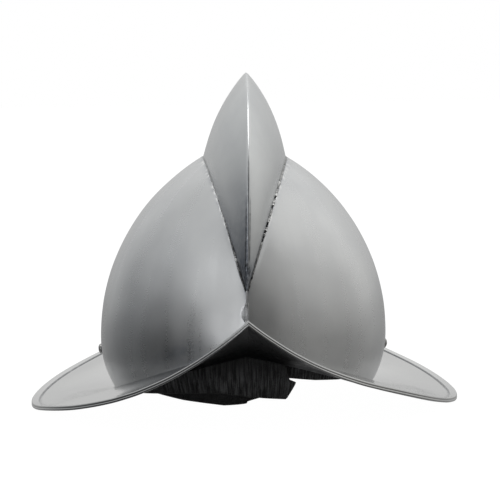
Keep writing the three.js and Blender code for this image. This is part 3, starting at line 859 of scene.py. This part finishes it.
def footWeld(name):  # a small fillet all the way round, mostly ground away at the left of the front
    share = crowded(fillet["stations"])
    z = footHeight(share)
    foot = bowlPoint(share * fillet["bowlShare"], z)
    across = unit((edgePoint(share, 1) - foot) * np.array([1, 1, 0]))

    def sections(size):
        low = foot + across * size[:, None]
        low[:, 2] = seatTop(low[:, 1]) + fillet["seatLift"]
        high = bowlPoint(share * fillet["bowlShare"], z + size)
        t = np.linspace(0, 1, 7)[None, :, None]
        bend = foot + across * (fillet["bend"] * size)[:, None] + np.array([0, 0, fillet["bendLift"]])
        curve = (1 - t) ** 2 * low[:, None] + 2 * t * (1 - t) * bend[:, None] + t**2 * high[:, None]
        back = foot - across * fillet["depth"]
        inside = [back + np.array([0, 0, up]) for up in (fillet["insideTop"], -fillet["insideDrop"])]
        return np.concatenate([curve, np.stack(inside, 1)], 1)

    size = fillet["size"] * (1 + lumps(foot, fillet["lumps"], 61))
    start, end = fillet["openFrom"], fillet["openTo"]
    opens, closes = fillet["openFades"]
    front = -foot[:, 1]
    isOpen = smoothStep(start, start + opens, front) * (1 - smoothStep(end - closes, end, front))
    left = sections(size * (1 - fillet["openShare"] * isOpen))
    rings = np.concatenate([sections(size), mirrored(left[-2:0:-1], -1)])
    return makeTube(name, askew(rings), isLoop=True)


seamWelds = [seamWeld(-1, "frontSeamWeld"), seamWeld(1, "backSeamWeld")]
combWelds = [combWeld(-1, "combWeldLeft"), combWeld(1, "combWeldRight")]
footBead = footWeld("footWeld")
print("welds made")


# Rivets, and the band that they hold

rivet = {
    "behind": 0.008,
    "height": 0.037,
    "headRadius": 0.0037,
    "headHeight": 0.003,
    "neckShare": 0.3,
    "shankRadius": 0.002,
    "tailRadius": 0.0035,
    "tailHeight": 0.0012,
    "sides": 40,
    "lipRadius": 0.9,  # where the outer head starts, as a share of its radius
    "lipLift": 0.00005,
    "cheekRadius": 0.98,
    "cheekShare": 0.3,  # of its neck
    "dentSize": 0.0022,
    "dentHeight": 0.00012,
}
band = {
    "leather": 0.002,
    "halfLength": bowl["halfLength"] - sheet - 0.0114,
    "endPower": 1.5,
    "clearance": 0.0012,
    "height": 0.046,  # of its top edge above the foot of the bowl's sides
    "inset": 0.009,  # the furthest that its loose ends stand in from the bowl
    "stations": 620,
    "rows": 20,
    "edgeRadius": 0.0006,
    "edgeShares": [0, 0.006, 0.018, 0.035],  # rows beside its lower edge
    "folds": [(0.030, 2.2, 0.0005), (0.009, 1.5, 0.00012)],  # size, times as long as high, height
    "sheenHeight": 0.026,  # where the painted sheen on its rubbed outer layer is greyest
    "sheenReach": 0.010,
    "sheenLeast": 0.2,
    "lapAngle": 330,  # from here on it is the end that lies behind, hardly worn, with little painted sheen so that it stays dark as shade
    "lapSheen": 0.15,
    "rivetAngles": (94.3, 265.7),
    "rivetQuiet": (3, 9),
}


def bandHalfWidth(z):
    return bowlHalfWidth(z, sheet) - band["clearance"]


def makeRivet(side, name):
    at = lambda y, z: bowlPoint(y / bowlHalfLength(np.array(z)), np.array(z))
    point = at(rivet["behind"], rivet["height"])
    back = at(rivet["behind"] + mm, rivet["height"]) - point
    up = at(rivet["behind"], rivet["height"] + mm) - point
    outward = unit(np.cross(back, up))
    along = (1 - (rivet["behind"] / band["halfLength"]) ** 2) ** (band["endPower"] / 2)
    depth = point[0] - float(bandHalfWidth(np.array(rivet["height"]))) * along + band["leather"]
    neck = rivet["headHeight"] * rivet["neckShare"]
    dome = [(rivet["headRadius"] * math.cos(a), fitGap + neck + (rivet["headHeight"] - neck) * math.sin(a))
            for a in np.linspace(0, math.pi / 2, 14)[:-1]]
    tailTop = -(depth + fitGap)
    tail = [(rivet["tailRadius"] * math.cos(a), tailTop - rivet["tailHeight"] * math.sin(a))
            for a in np.linspace(math.pi / 2, 0, 8)[1:]]
    under = [(rivet["shankRadius"], tailTop), (rivet["shankRadius"], 0.0),
             (rivet["headRadius"] * rivet["lipRadius"], rivet["lipLift"]),
             (rivet["headRadius"] * rivet["cheekRadius"], fitGap + neck * rivet["cheekShare"])]
    profile = np.array(tail + under + dome)
    turns = np.linspace(0, 2 * math.pi, rivet["sides"], endpoint=False)
    first = unit(np.cross(outward, np.array([0, 0, 1.0])))
    second = np.cross(outward, first)
    radial = np.cos(turns)[:, None] * first + np.sin(turns)[:, None] * second
    rings = point + profile[:, None, :1] * radial[None] + profile[:, None, 1:] * outward
    beaten = noiseAt(rings, rivet["dentSize"], 71 + side) * rivet["dentHeight"]
    rings = rings + outward * beaten[..., None]
    return makeTube(name, askew(mirrored(rings, side)))


rivetLeft = makeRivet(-1, "rivetLeft")
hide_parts("rivet_left")
rivetRight = makeRivet(1, "rivetRight")
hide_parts("rivet_right")
print("rivets made")


# Head band

# Each row is an angle in degrees from the middle of the front towards -X, its bottom and top as shares of
# the band's height above the foot of the bowl's sides, and its inset as a share of the loose ends' own.
bandRun = [
    (-32, 0.28, 0.3, 0.5),
    (-28, 0.06, 0.36, 0.35),
    (-23, 0.09, 0.8, 0.03),
    (-11, 0.14, 0.92, 0),
    (20, 0.2, 0.95, 0),
    (36, 0.16, 0.92, 0),
    (62, 0.05, 0.88, 0),
    (95, 0.17, 0.85, 0),
    (180, 0.2, 0.9, 0),
    (268, 0.2, 0.85, 0),
    (307, 0.24, 0.88, 0.3),
    (318, 0.28, 0.9, 0.7),
    (334, 0.38, 0.88, 1),
    (345, 0.1, 0.84, 0.95),
    (356, 0.06, 0.8, 0.8),
    (380, 0, 0.78, 0.6),
    (400, 0.03, 0.76, 0.5),
    (425, 0.12, 0.7, 0.5),
]


def bandPoint(angle, z, depth):
    def plan(turn):
        across = np.sign(np.sin(turn)) * np.abs(np.sin(turn)) ** band["endPower"]
        return np.stack([-bandHalfWidth(z) * across, -band["halfLength"] * np.cos(turn) + 0 * z, z], -1)
    turn = np.radians(angle)
    half = math.radians(0.5)
    along = unit(plan(turn + half) - plan(turn - half))
    inward = np.stack([along[..., 1], -along[..., 0], 0 * along[..., 0]], -1)
    return plan(turn) + inward * depth[..., None], inward


def makeBand():
    angles, bottom, top, inset = np.array(bandRun, float).T
    angle = np.linspace(angles[0], angles[-1], band["stations"])
    bottom, top, inset = (np.interp(angle, angles, column) for column in (bottom, top, inset))
    beside = np.array(band["edgeShares"])
    rowShare = np.concatenate([beside, np.linspace(0.06, 0.94, band["rows"]), 1 - beside[::-1]])[:, None]
    z = bowl["seatHeight"] + band["height"] * (bottom * (1 - rowShare) + top * rowShare)
    wide = np.broadcast_to(angle, z.shape)
    surface, inward = bandPoint(wide, z, np.broadcast_to(inset * band["inset"], z.shape))
    alongStep = np.linalg.norm(np.diff(surface[12], axis=0, prepend=surface[12, :1]), axis=-1)
    along = np.broadcast_to(np.cumsum(alongStep), z.shape)
    fold = sum(noiseAt(np.stack([along, z * stretch, 0 * z], -1), size, 81 + n) * height
               for n, (size, stretch, height) in enumerate(band["folds"]))
    fromRivet = np.min([np.abs(wide - at) for at in band["rivetAngles"]], axis=0)
    fold = fold * smoothStep(*band["rivetQuiet"], fromRivet)
    ends = np.minimum(along - along[:, :1], along[:, -1:] - along)
    edge = np.minimum(np.minimum(z - z[:1], z[-1:] - z), ends)
    drop = roundedDepth(np.maximum(edge, 0), band["edgeRadius"])
    outer = surface + inward * (fold + drop)[..., None]
    inner = surface + inward * (fold + band["leather"] - drop)[..., None]
    # painted sheen and rubbing: lighter across the outer layer at one height, darker above and below as
    # shade
    wornAndLit = band["sheenLeast"] + (1 - band["sheenLeast"]) * hump(z - band["sheenHeight"], band["sheenReach"])
    wornAndLit = wornAndLit * np.where(wide > band["lapAngle"], band["lapSheen"], 1)
    masks = {"along": along, "across": z, "fromEdge": edge, "wornAndLit": wornAndLit}
    return makeShell("headBandLeather", askew(outer), askew(inner), masks)


headBand = makeBand()
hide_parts("head_band")
print("head band made")


# Shader effects

def effect(name, inputs, outputs):
    group = bpy.data.node_groups.new(name, "ShaderNodeTree")
    for label, kind, value in inputs:
        socket = group.interface.new_socket(label, in_out="INPUT", socket_type=kind)
        socket.default_value = value
    for label, kind in outputs:
        group.interface.new_socket(label, in_out="OUTPUT", socket_type=kind)
    return group, group.nodes.new("NodeGroupInput"), group.nodes.new("NodeGroupOutput")


def node(tree, kind, settings=None, **links):
    made = tree.nodes.new(kind)
    for key, value in (settings or {}).items():
        setattr(made, key, value)
    for key, value in links.items():
        socket = made.inputs[int(key[1:]) if key[0] == "i" and key[1:].isdigit() else key.replace("_", " ")]
        if isinstance(value, bpy.types.NodeSocket):
            tree.links.new(value, socket)
        else:
            socket.default_value = value
    return made


def maths(tree, operation, a, b=0.0, clamp=False):
    return node(tree, "ShaderNodeMath", {"operation": operation, "use_clamp": clamp}, i0=a, i1=b).outputs[0]


def remap(tree, value, low, high, newLow, newHigh):
    made = node(tree, "ShaderNodeMapRange", {"interpolation_type": "SMOOTHSTEP"}, Value=value)
    for index, number in enumerate((low, high, newLow, newHigh)):
        made.inputs[index + 1].default_value = number
    return made.outputs[0]


def mixColour(tree, factor, a, b):
    made = node(tree, "ShaderNodeMix", {"data_type": "RGBA"})
    for index, value in ((0, factor), (6, a), (7, b)):
        if isinstance(value, bpy.types.NodeSocket):
            tree.links.new(value, made.inputs[index])
        else:
            made.inputs[index].default_value = value
    return made.outputs[2]


def mottle(tree, place, scale, detail, roughness):
    links = {"Vector": place, "Scale": scale, "Detail": detail, "Roughness": roughness}
    return node(tree, "ShaderNodeTexNoise", {}, **links).outputs["Fac"]


def objectPlace(tree):
    return node(tree, "ShaderNodeTexCoord").outputs["Object"]


def dress(tree, shader, colour, rough, height, strength, distance):
    bump = node(tree, "ShaderNodeBump", {}, Height=height, Strength=strength, Distance=distance)
    for socket, value in (("Base Color", colour), ("Roughness", rough), ("Normal", bump.outputs[0])):
        tree.links.new(value, shader.inputs[socket])


def attribute(tree, name):
    return node(tree, "ShaderNodeAttribute", {"attribute_name": name}).outputs["Fac"]


def streakEffect():  # fine grinding marks that run along a surface, from two lengths kept on the mesh
    floats = [("Along", 0.0), ("Across", 0.0), ("Fineness", 1.0)]
    tree, given, made = effect("grindingMarks", [(name, "NodeSocketFloat", value) for name, value in floats],
                               [("Marks", "NodeSocketFloat"), ("Bands", "NodeSocketFloat")])
    along, across, fine = (given.outputs[name] for name, _ in floats)
    place = node(tree, "ShaderNodeCombineXYZ", X=maths(tree, "MULTIPLY", along, 22.0),
                 Y=maths(tree, "MULTIPLY", maths(tree, "MULTIPLY", across, 380.0), fine), Z=0.37)
    wide = node(tree, "ShaderNodeCombineXYZ", X=maths(tree, "MULTIPLY", along, 7.0),
                Y=maths(tree, "MULTIPLY", across, 90.0), Z=0.61)
    tree.links.new(mottle(tree, place.outputs[0], 1.0, 2.0, 0.5), made.inputs["Marks"])
    tree.links.new(mottle(tree, wide.outputs[0], 1.0, 3.0, 0.5), made.inputs["Bands"])
    return tree


def cloudEffect():  # soft uneven patches of a hand-rubbed finish
    tree, given, made = effect("rubbedPatches", [("Scale", "NodeSocketFloat", 30.0)],
                               [("Patches", "NodeSocketFloat"), ("Specks", "NodeSocketFloat")])
    place = objectPlace(tree)
    tree.links.new(mottle(tree, place, given.outputs["Scale"], 3.0, 0.55), made.inputs["Patches"])
    tree.links.new(mottle(tree, place, 900.0, 2.0, 0.6), made.inputs["Specks"])
    return tree


# the blued and scorched colours also serve as painted shade and painted reflection
heatAndShadeColours = {
    "bluedAndShaded": (0.27, 0.29, 0.33, 1), "scorchedAndShaded": (0.028, 0.029, 0.032, 1), "bare": (0.74, 0.74, 0.73, 1),
}


def heatAndShadeEffect():  # steel blued and scorched beside welds; the same two colours also paint shade and reflection on the comb and brim
    tree, given, made = effect("weldHeatAndShade", [
        ("Colour", "NodeSocketColor", (0.6, 0.6, 0.6, 1)), ("Burn", "NodeSocketFloat", 0.0),
        ("Scorch", "NodeSocketFloat", 0.0), ("Bare", "NodeSocketFloat", 0.0),
    ], [("Colour", "NodeSocketColor"), ("Dullness", "NodeSocketFloat")])
    uneven = remap(tree, mottle(tree, objectPlace(tree), 260.0, 3.0, 0.6), 0.3, 0.65, 0.55, 1.0)
    burnAndShade = maths(tree, "MULTIPLY", given.outputs["Burn"], uneven)
    scorchAndShade = maths(tree, "MULTIPLY", given.outputs["Scorch"], uneven)
    colour = mixColour(tree, burnAndShade, given.outputs["Colour"], heatAndShadeColours["bluedAndShaded"])
    colour = mixColour(tree, scorchAndShade, colour, heatAndShadeColours["scorchedAndShaded"])
    colour = mixColour(tree, given.outputs["Bare"], colour, heatAndShadeColours["bare"])
    tree.links.new(colour, made.inputs["Colour"])
    tree.links.new(maths(tree, "MULTIPLY", scorchAndShade, 0.15), made.inputs["Dullness"])
    return tree


marksGroup = streakEffect()
heatAndShadeGroup = heatAndShadeEffect()
patchesGroup = cloudEffect()


def useGroup(tree, group, **values):
    made = tree.nodes.new("ShaderNodeGroup")
    made.node_tree = group
    for key, value in values.items():
        if isinstance(value, bpy.types.NodeSocket):
            tree.links.new(value, made.inputs[key])
        else:
            made.inputs[key].default_value = value
    return made


def newMaterial(name, metallic, specular=0.5):
    material = bpy.data.materials.new(name)
    material.use_nodes = True
    tree = material.node_tree
    shader = tree.nodes["Principled BSDF"]
    shader.inputs["Metallic"].default_value = metallic
    shader.inputs["Specular IOR Level"].default_value = specular
    return material, tree, shader


def steel(name, finish):  # satin sheet steel, darker and bluish beside its welds and where shade and reflection are painted
    material, tree, shader = newMaterial(name, 1.0)
    marks = useGroup(tree, marksGroup, Along=attribute(tree, finish["marksRun"]),
                     Across=attribute(tree, finish["marksCross"]), Fineness=finish["fineness"])
    patches = useGroup(tree, patchesGroup, Scale=finish["patchScale"])
    colour = mixColour(tree, remap(tree, patches.outputs["Patches"], 0.3, 0.7, 0.0, 1.0),
                       finish["colour"], finish["patchColour"])
    heatAndShade = useGroup(tree, heatAndShadeGroup, Colour=colour, Burn=attribute(tree, "burnAndShade"),
                    Scorch=attribute(tree, "scorchAndShade"), Bare=attribute(tree, "bare"))
    rough = remap(tree, marks.outputs["Bands"], 0.3, 0.7, -finish["roughSpread"], finish["roughSpread"])
    rough = maths(tree, "ADD", rough, finish["roughness"])
    rough = maths(tree, "ADD", rough, remap(tree, patches.outputs["Specks"], 0.3, 0.7, -0.015, 0.02))
    rough = maths(tree, "ADD", rough, heatAndShade.outputs["Dullness"])
    height = maths(tree, "ADD", maths(tree, "MULTIPLY", marks.outputs["Marks"], finish["markDepth"]),
                   maths(tree, "MULTIPLY", patches.outputs["Specks"], finish["speckDepth"]))
    dress(tree, shader, heatAndShade.outputs["Colour"], rough, height, 1.0, 0.001)
    return material


plateFinish = {
    "colour": (0.60, 0.605, 0.605, 1), "patchColour": (0.55, 0.555, 0.56, 1), "patchScale": 24.0,
    "roughness": 0.30, "roughSpread": 0.03, "fineness": 0.8, "markDepth": 0.006, "speckDepth": 0.0006,
    "marksRun": "across", "marksCross": "along",
}
combFinish = {
    "colour": (0.60, 0.61, 0.61, 1), "patchColour": (0.56, 0.57, 0.575, 1), "patchScale": 30.0,
    "roughness": 0.30, "roughSpread": 0.03, "fineness": 0.8, "markDepth": 0.005, "speckDepth": 0.0006,
    "marksRun": "along", "marksCross": "across",
}
brimFinish = {
    "colour": (0.565, 0.565, 0.56, 1), "patchColour": (0.525, 0.525, 0.525, 1), "patchScale": 22.0,
    "roughness": 0.13, "roughSpread": 0.03, "fineness": 1.4, "markDepth": 0.006, "speckDepth": 0.0006,
    "marksRun": "along", "marksCross": "across",
}


beadFinish = {
    "scale": 420.0, "detail": 5.0, "coarseness": 0.65, "blotScale": 110.0, "blotDetail": 2.0,
    "blotCoarseness": 0.5, "colour": (0.50, 0.50, 0.50, 1), "blotColour": (0.33, 0.335, 0.34, 1),
    "smooth": 0.28, "rough": 0.5, "relief": 0.6,
}
rivetFinish = {
    "scale": 500.0, "detail": 4.0, "coarseness": 0.6, "blotScale": 500.0, "blotDetail": 4.0,
    "blotCoarseness": 0.6, "colour": (0.42, 0.42, 0.41, 1), "blotColour": (0.28, 0.275, 0.27, 1),
    "smooth": 0.3, "rough": 0.48, "relief": 0.5,
}


def blottedSteel(name, finish):
    material, tree, shader = newMaterial(name, 1.0)
    place = objectPlace(tree)
    scale = mottle(tree, place, finish["scale"], finish["detail"], finish["coarseness"])
    blots = mottle(tree, place, finish["blotScale"], finish["blotDetail"], finish["blotCoarseness"])
    dark = remap(tree, blots, 0.35, 0.65, 0.0, 1.0)
    colour = mixColour(tree, dark, finish["colour"], finish["blotColour"])
    rough = remap(tree, scale, 0.3, 0.7, finish["smooth"], finish["rough"])
    dress(tree, shader, colour, rough, scale, finish["relief"], 0.0002)
    return material


scaleColours = {
    "dark": (0.20, 0.20, 0.20, 1), "light": (0.42, 0.42, 0.41, 1), "pit": (0.03, 0.03, 0.03, 1),
    "bare": (0.66, 0.66, 0.65, 1),
}


def scaleSteel(name):  # burnt scale in the grooves, bare steel where a bead was ground
    material, tree, shader = newMaterial(name, 1.0)
    scale, bare = mottle(tree, objectPlace(tree), 600.0, 5.0, 0.7), attribute(tree, "bare")
    light = remap(tree, scale, 0.4, 0.7, 0.0, 1.0)
    colour = mixColour(tree, light, scaleColours["dark"], scaleColours["light"])
    colour = mixColour(tree, attribute(tree, "pit"), colour, scaleColours["pit"])
    colour = mixColour(tree, bare, colour, scaleColours["bare"])
    rough = remap(tree, scale, 0.3, 0.7, 0.55, 0.35)
    rough = maths(tree, "SUBTRACT", rough, maths(tree, "MULTIPLY", bare, 0.1))
    dress(tree, shader, colour, rough, scale, 0.8, 0.0003)
    return material


# the rubbed colour is painted sheen on rubbed leather
leatherColours = {
    "dark": (0.006, 0.006, 0.0065, 1), "faded": (0.013, 0.013, 0.014, 1), "rubbedSheen": (0.11, 0.112, 0.115, 1),
    "cut": (0.03, 0.029, 0.028, 1),
}


def blackLeather(name):
    material, tree, shader = newMaterial(name, 0.0, 0.45)
    place = objectPlace(tree)
    along, across = attribute(tree, "along"), attribute(tree, "across")
    ribs = node(tree, "ShaderNodeCombineXYZ", X=maths(tree, "MULTIPLY", along, 1000.0),
                Y=maths(tree, "MULTIPLY", across, 70.0))
    ribbed = mottle(tree, ribs.outputs[0], 1.0, 3.0, 0.55)
    pebble = node(tree, "ShaderNodeTexVoronoi", {}, Vector=place, Scale=1100.0).outputs["Distance"]
    wear = mottle(tree, place, 45.0, 4.0, 0.6)
    height = maths(tree, "ADD", maths(tree, "MULTIPLY", ribbed, 0.6), maths(tree, "MULTIPLY", pebble, 0.25))
    faded = remap(tree, wear, 0.4, 0.75, 0.0, 1.0)
    colour = mixColour(tree, faded, leatherColours["dark"], leatherColours["faded"])
    # ribs painted lighter as sheen and rubbing, in a band of the outer layer
    rubbedSheen = maths(tree, "MULTIPLY", remap(tree, ribbed, 0.42, 0.62, 0.0, 1.0), attribute(tree, "wornAndLit"))
    colour = mixColour(tree, rubbedSheen, colour, leatherColours["rubbedSheen"])
    cut = remap(tree, attribute(tree, "fromEdge"), 0.0002, 0.0008, 1.0, 0.0)
    colour = mixColour(tree, cut, colour, leatherColours["cut"])
    rough = remap(tree, wear, 0.35, 0.7, 0.40, 0.55)
    rough = maths(tree, "ADD", rough, maths(tree, "MULTIPLY", ribbed, 0.12))
    dress(tree, shader, colour, rough, height, 1.0, 0.0012)
    return material


for material, pieces in (
    (steel("plateSteel", plateFinish), [plateLeft, plateRight]),
    (steel("combSteel", combFinish), [combShell]),
    (steel("brimSteel", brimFinish), [brimShell]),
    (blottedSteel("weldSteel", beadFinish), seamWelds + [footBead]),
    (scaleSteel("weldScale"), combWelds),
    (blottedSteel("rivetSteel", rivetFinish), [rivetLeft, rivetRight]),
    (blackLeather("bandLeather"), [headBand]),
):
    for piece in pieces:
        piece.data.materials.append(material)
print("materials made")


# Studio: a pale floor, a soft surround and the camera

studio = {
    "floorSize": 12.0,
    "floorColour": (0.86, 0.86, 0.86, 1),
    "floorLift": 0.93,  # how far the camera sees it lifted towards white
    "white": (1.0, 1.0, 1.0, 1),
    "floorGlow": 1.07,
    "surround": (0.108, 0.11, 0.112),
    "lights": {
        # where it lies, the cosines of the angles at which it starts and is full, and its light
        "ceiling": {"to": (0.0, 0.0, 1.0), "from": -0.10, "full": 0.85, "light": (0.56, 0.565, 0.565)},
        "overhead": {"to": (0.0, 0.0, 1.0), "from": 0.90, "full": 0.97, "light": (3.2, 3.2, 3.2)},
        "back": {"to": (0.17, 0.985, 0.08), "from": 0.15, "full": 1.0, "light": (0.51, 0.51, 0.505)},
        "backLeft": {"to": (-0.90, 0.42, 0.10), "from": 0.70, "full": 1.0, "light": (0.14, 0.145, 0.15)},
        "left": {"to": (-0.80, -0.35, 0.50), "from": 0.75, "full": 1.0, "light": (0.16, 0.165, 0.17)},
        "right": {"to": (0.98, -0.14, 0.15), "from": 0.45, "full": 0.95, "light": (0.42, 0.415, 0.40)},
    },
    "flags": {
        # dark screens: the same, with the share of the light that each keeps off
        "front": {"to": (0.0, -0.95, 0.30), "from": 0.42, "full": 0.72, "keeps": 0.80},
        "frontLeft": {"to": (-0.93, -0.36, 0.02), "from": 0.86, "full": 0.98, "keeps": 0.28},
        "frontRight": {"to": (0.70, -0.71, 0.02), "from": 0.955, "full": 0.995, "keeps": 0.45},
        "below": {"to": (0.0, 0.0, -1.0), "from": -0.06, "full": 0.14, "keeps": 0.40},
    },
    "keys": {  # lights that no screen dims
        "key": {"to": (-0.643, -0.766, -0.03), "from": 0.972, "full": 0.998, "light": (2.2, 2.22, 2.25)},
        "keyTop": {"to": (-0.70, -0.60, 0.40), "from": 0.92, "full": 1.0, "light": (0.80, 0.81, 0.82)},
    },
}


def makeSurround():
    world = bpy.data.worlds.new("softSurround")
    world.use_nodes = True
    bpy.context.scene.world = world
    tree = world.node_tree
    shader = tree.nodes["Background"]
    direction = node(tree, "ShaderNodeTexCoord").outputs["Generated"]

    def shareTowards(box):
        towards = Vector(box["to"]).normalized()
        facing = node(tree, "ShaderNodeVectorMath", {"operation": "DOT_PRODUCT"}, i0=direction, i1=towards)
        return remap(tree, facing.outputs["Value"], box["from"], box["full"], 0.0, 1.0)

    def lit(total, boxes):
        for box in boxes.values():
            share = shareTowards(box)
            light = node(tree, "ShaderNodeVectorMath", {"operation": "SCALE"}, i0=box["light"], Scale=share)
            added = node(tree, "ShaderNodeVectorMath", {"operation": "ADD"}, i0=light.outputs[0], i1=total)
            total = added.outputs[0]
        return total

    total = lit(studio["surround"], studio["lights"])
    for box in studio["flags"].values():
        left = maths(tree, "SUBTRACT", 1.0, maths(tree, "MULTIPLY", shareTowards(box), box["keeps"]))
        total = node(tree, "ShaderNodeVectorMath", {"operation": "SCALE"}, i0=total, Scale=left).outputs[0]
    total = lit(total, studio["keys"])
    seen = node(tree, "ShaderNodeLightPath").outputs["Is Camera Ray"]
    tree.links.new(mixColour(tree, seen, total, studio["white"]), shader.inputs["Color"])


def makeFloor():
    half = studio["floorSize"] / 2
    mesh = bpy.data.meshes.new("floor")
    corners = [(-half, -half, 0), (half, -half, 0), (half, half, 0), (-half, half, 0)]
    mesh.from_pydata(corners, [], [(0, 1, 2, 3)])
    floor = bpy.data.objects.new("floor", mesh)
    bpy.context.scene.collection.objects.link(floor)
    material, tree, shader = newMaterial("paleFloor", 0.0, 0.1)
    shader.inputs["Base Color"].default_value = studio["floorColour"]
    shader.inputs["Roughness"].default_value = 0.9
    glow = node(tree, "ShaderNodeEmission", {}, Color=studio["white"], Strength=studio["floorGlow"])
    seen = node(tree, "ShaderNodeLightPath").outputs["Is Camera Ray"]
    lift = maths(tree, "MULTIPLY", seen, studio["floorLift"])
    both = node(tree, "ShaderNodeMixShader", {}, i0=lift, i1=shader.outputs[0], i2=glow.outputs[0])
    tree.links.new(both.outputs[0], tree.nodes["Material Output"].inputs["Surface"])
    floor.data.materials.append(material)
    floor.visible_glossy = False  # the steel mirrors the dark surround under it


view = {
    "target": (0.0, 0.0, 0.110),
    "distance": 1.6,
    "elevation": 5.7,
    "azimuth": -1.1,
    "roll": 0.95,
    "lens": 159.8,
    "shiftX": 0.0166,
    "shiftY": -0.0061,
}


def makeCamera():
    up, side = math.radians(view["elevation"]), math.radians(view["azimuth"])
    back = Vector((math.sin(side) * math.cos(up), -math.cos(side) * math.cos(up), math.sin(up)))
    right = Vector((math.cos(side), math.sin(side), 0))
    above = back.cross(right)
    roll = math.radians(view["roll"])
    x = right * math.cos(roll) - above * math.sin(roll)
    y = right * math.sin(roll) + above * math.cos(roll)
    camera = bpy.data.objects.new("camera", bpy.data.cameras.new("camera"))
    camera.matrix_world = Matrix.Translation(Vector(view["target"]) + back * view["distance"]) @ Matrix(
        (x, y, back)).transposed().to_4x4()
    camera.data.sensor_width = 36
    camera.data.lens = view["lens"]
    camera.data.shift_x = view["shiftX"]
    camera.data.shift_y = view["shiftY"]
    camera.data.clip_start = 0.01
    bpy.context.scene.collection.objects.link(camera)
    bpy.context.scene.camera = camera


makeSurround()
makeFloor()
makeCamera()
bpy.context.scene.view_settings.view_transform = "Standard"
print("studio made")
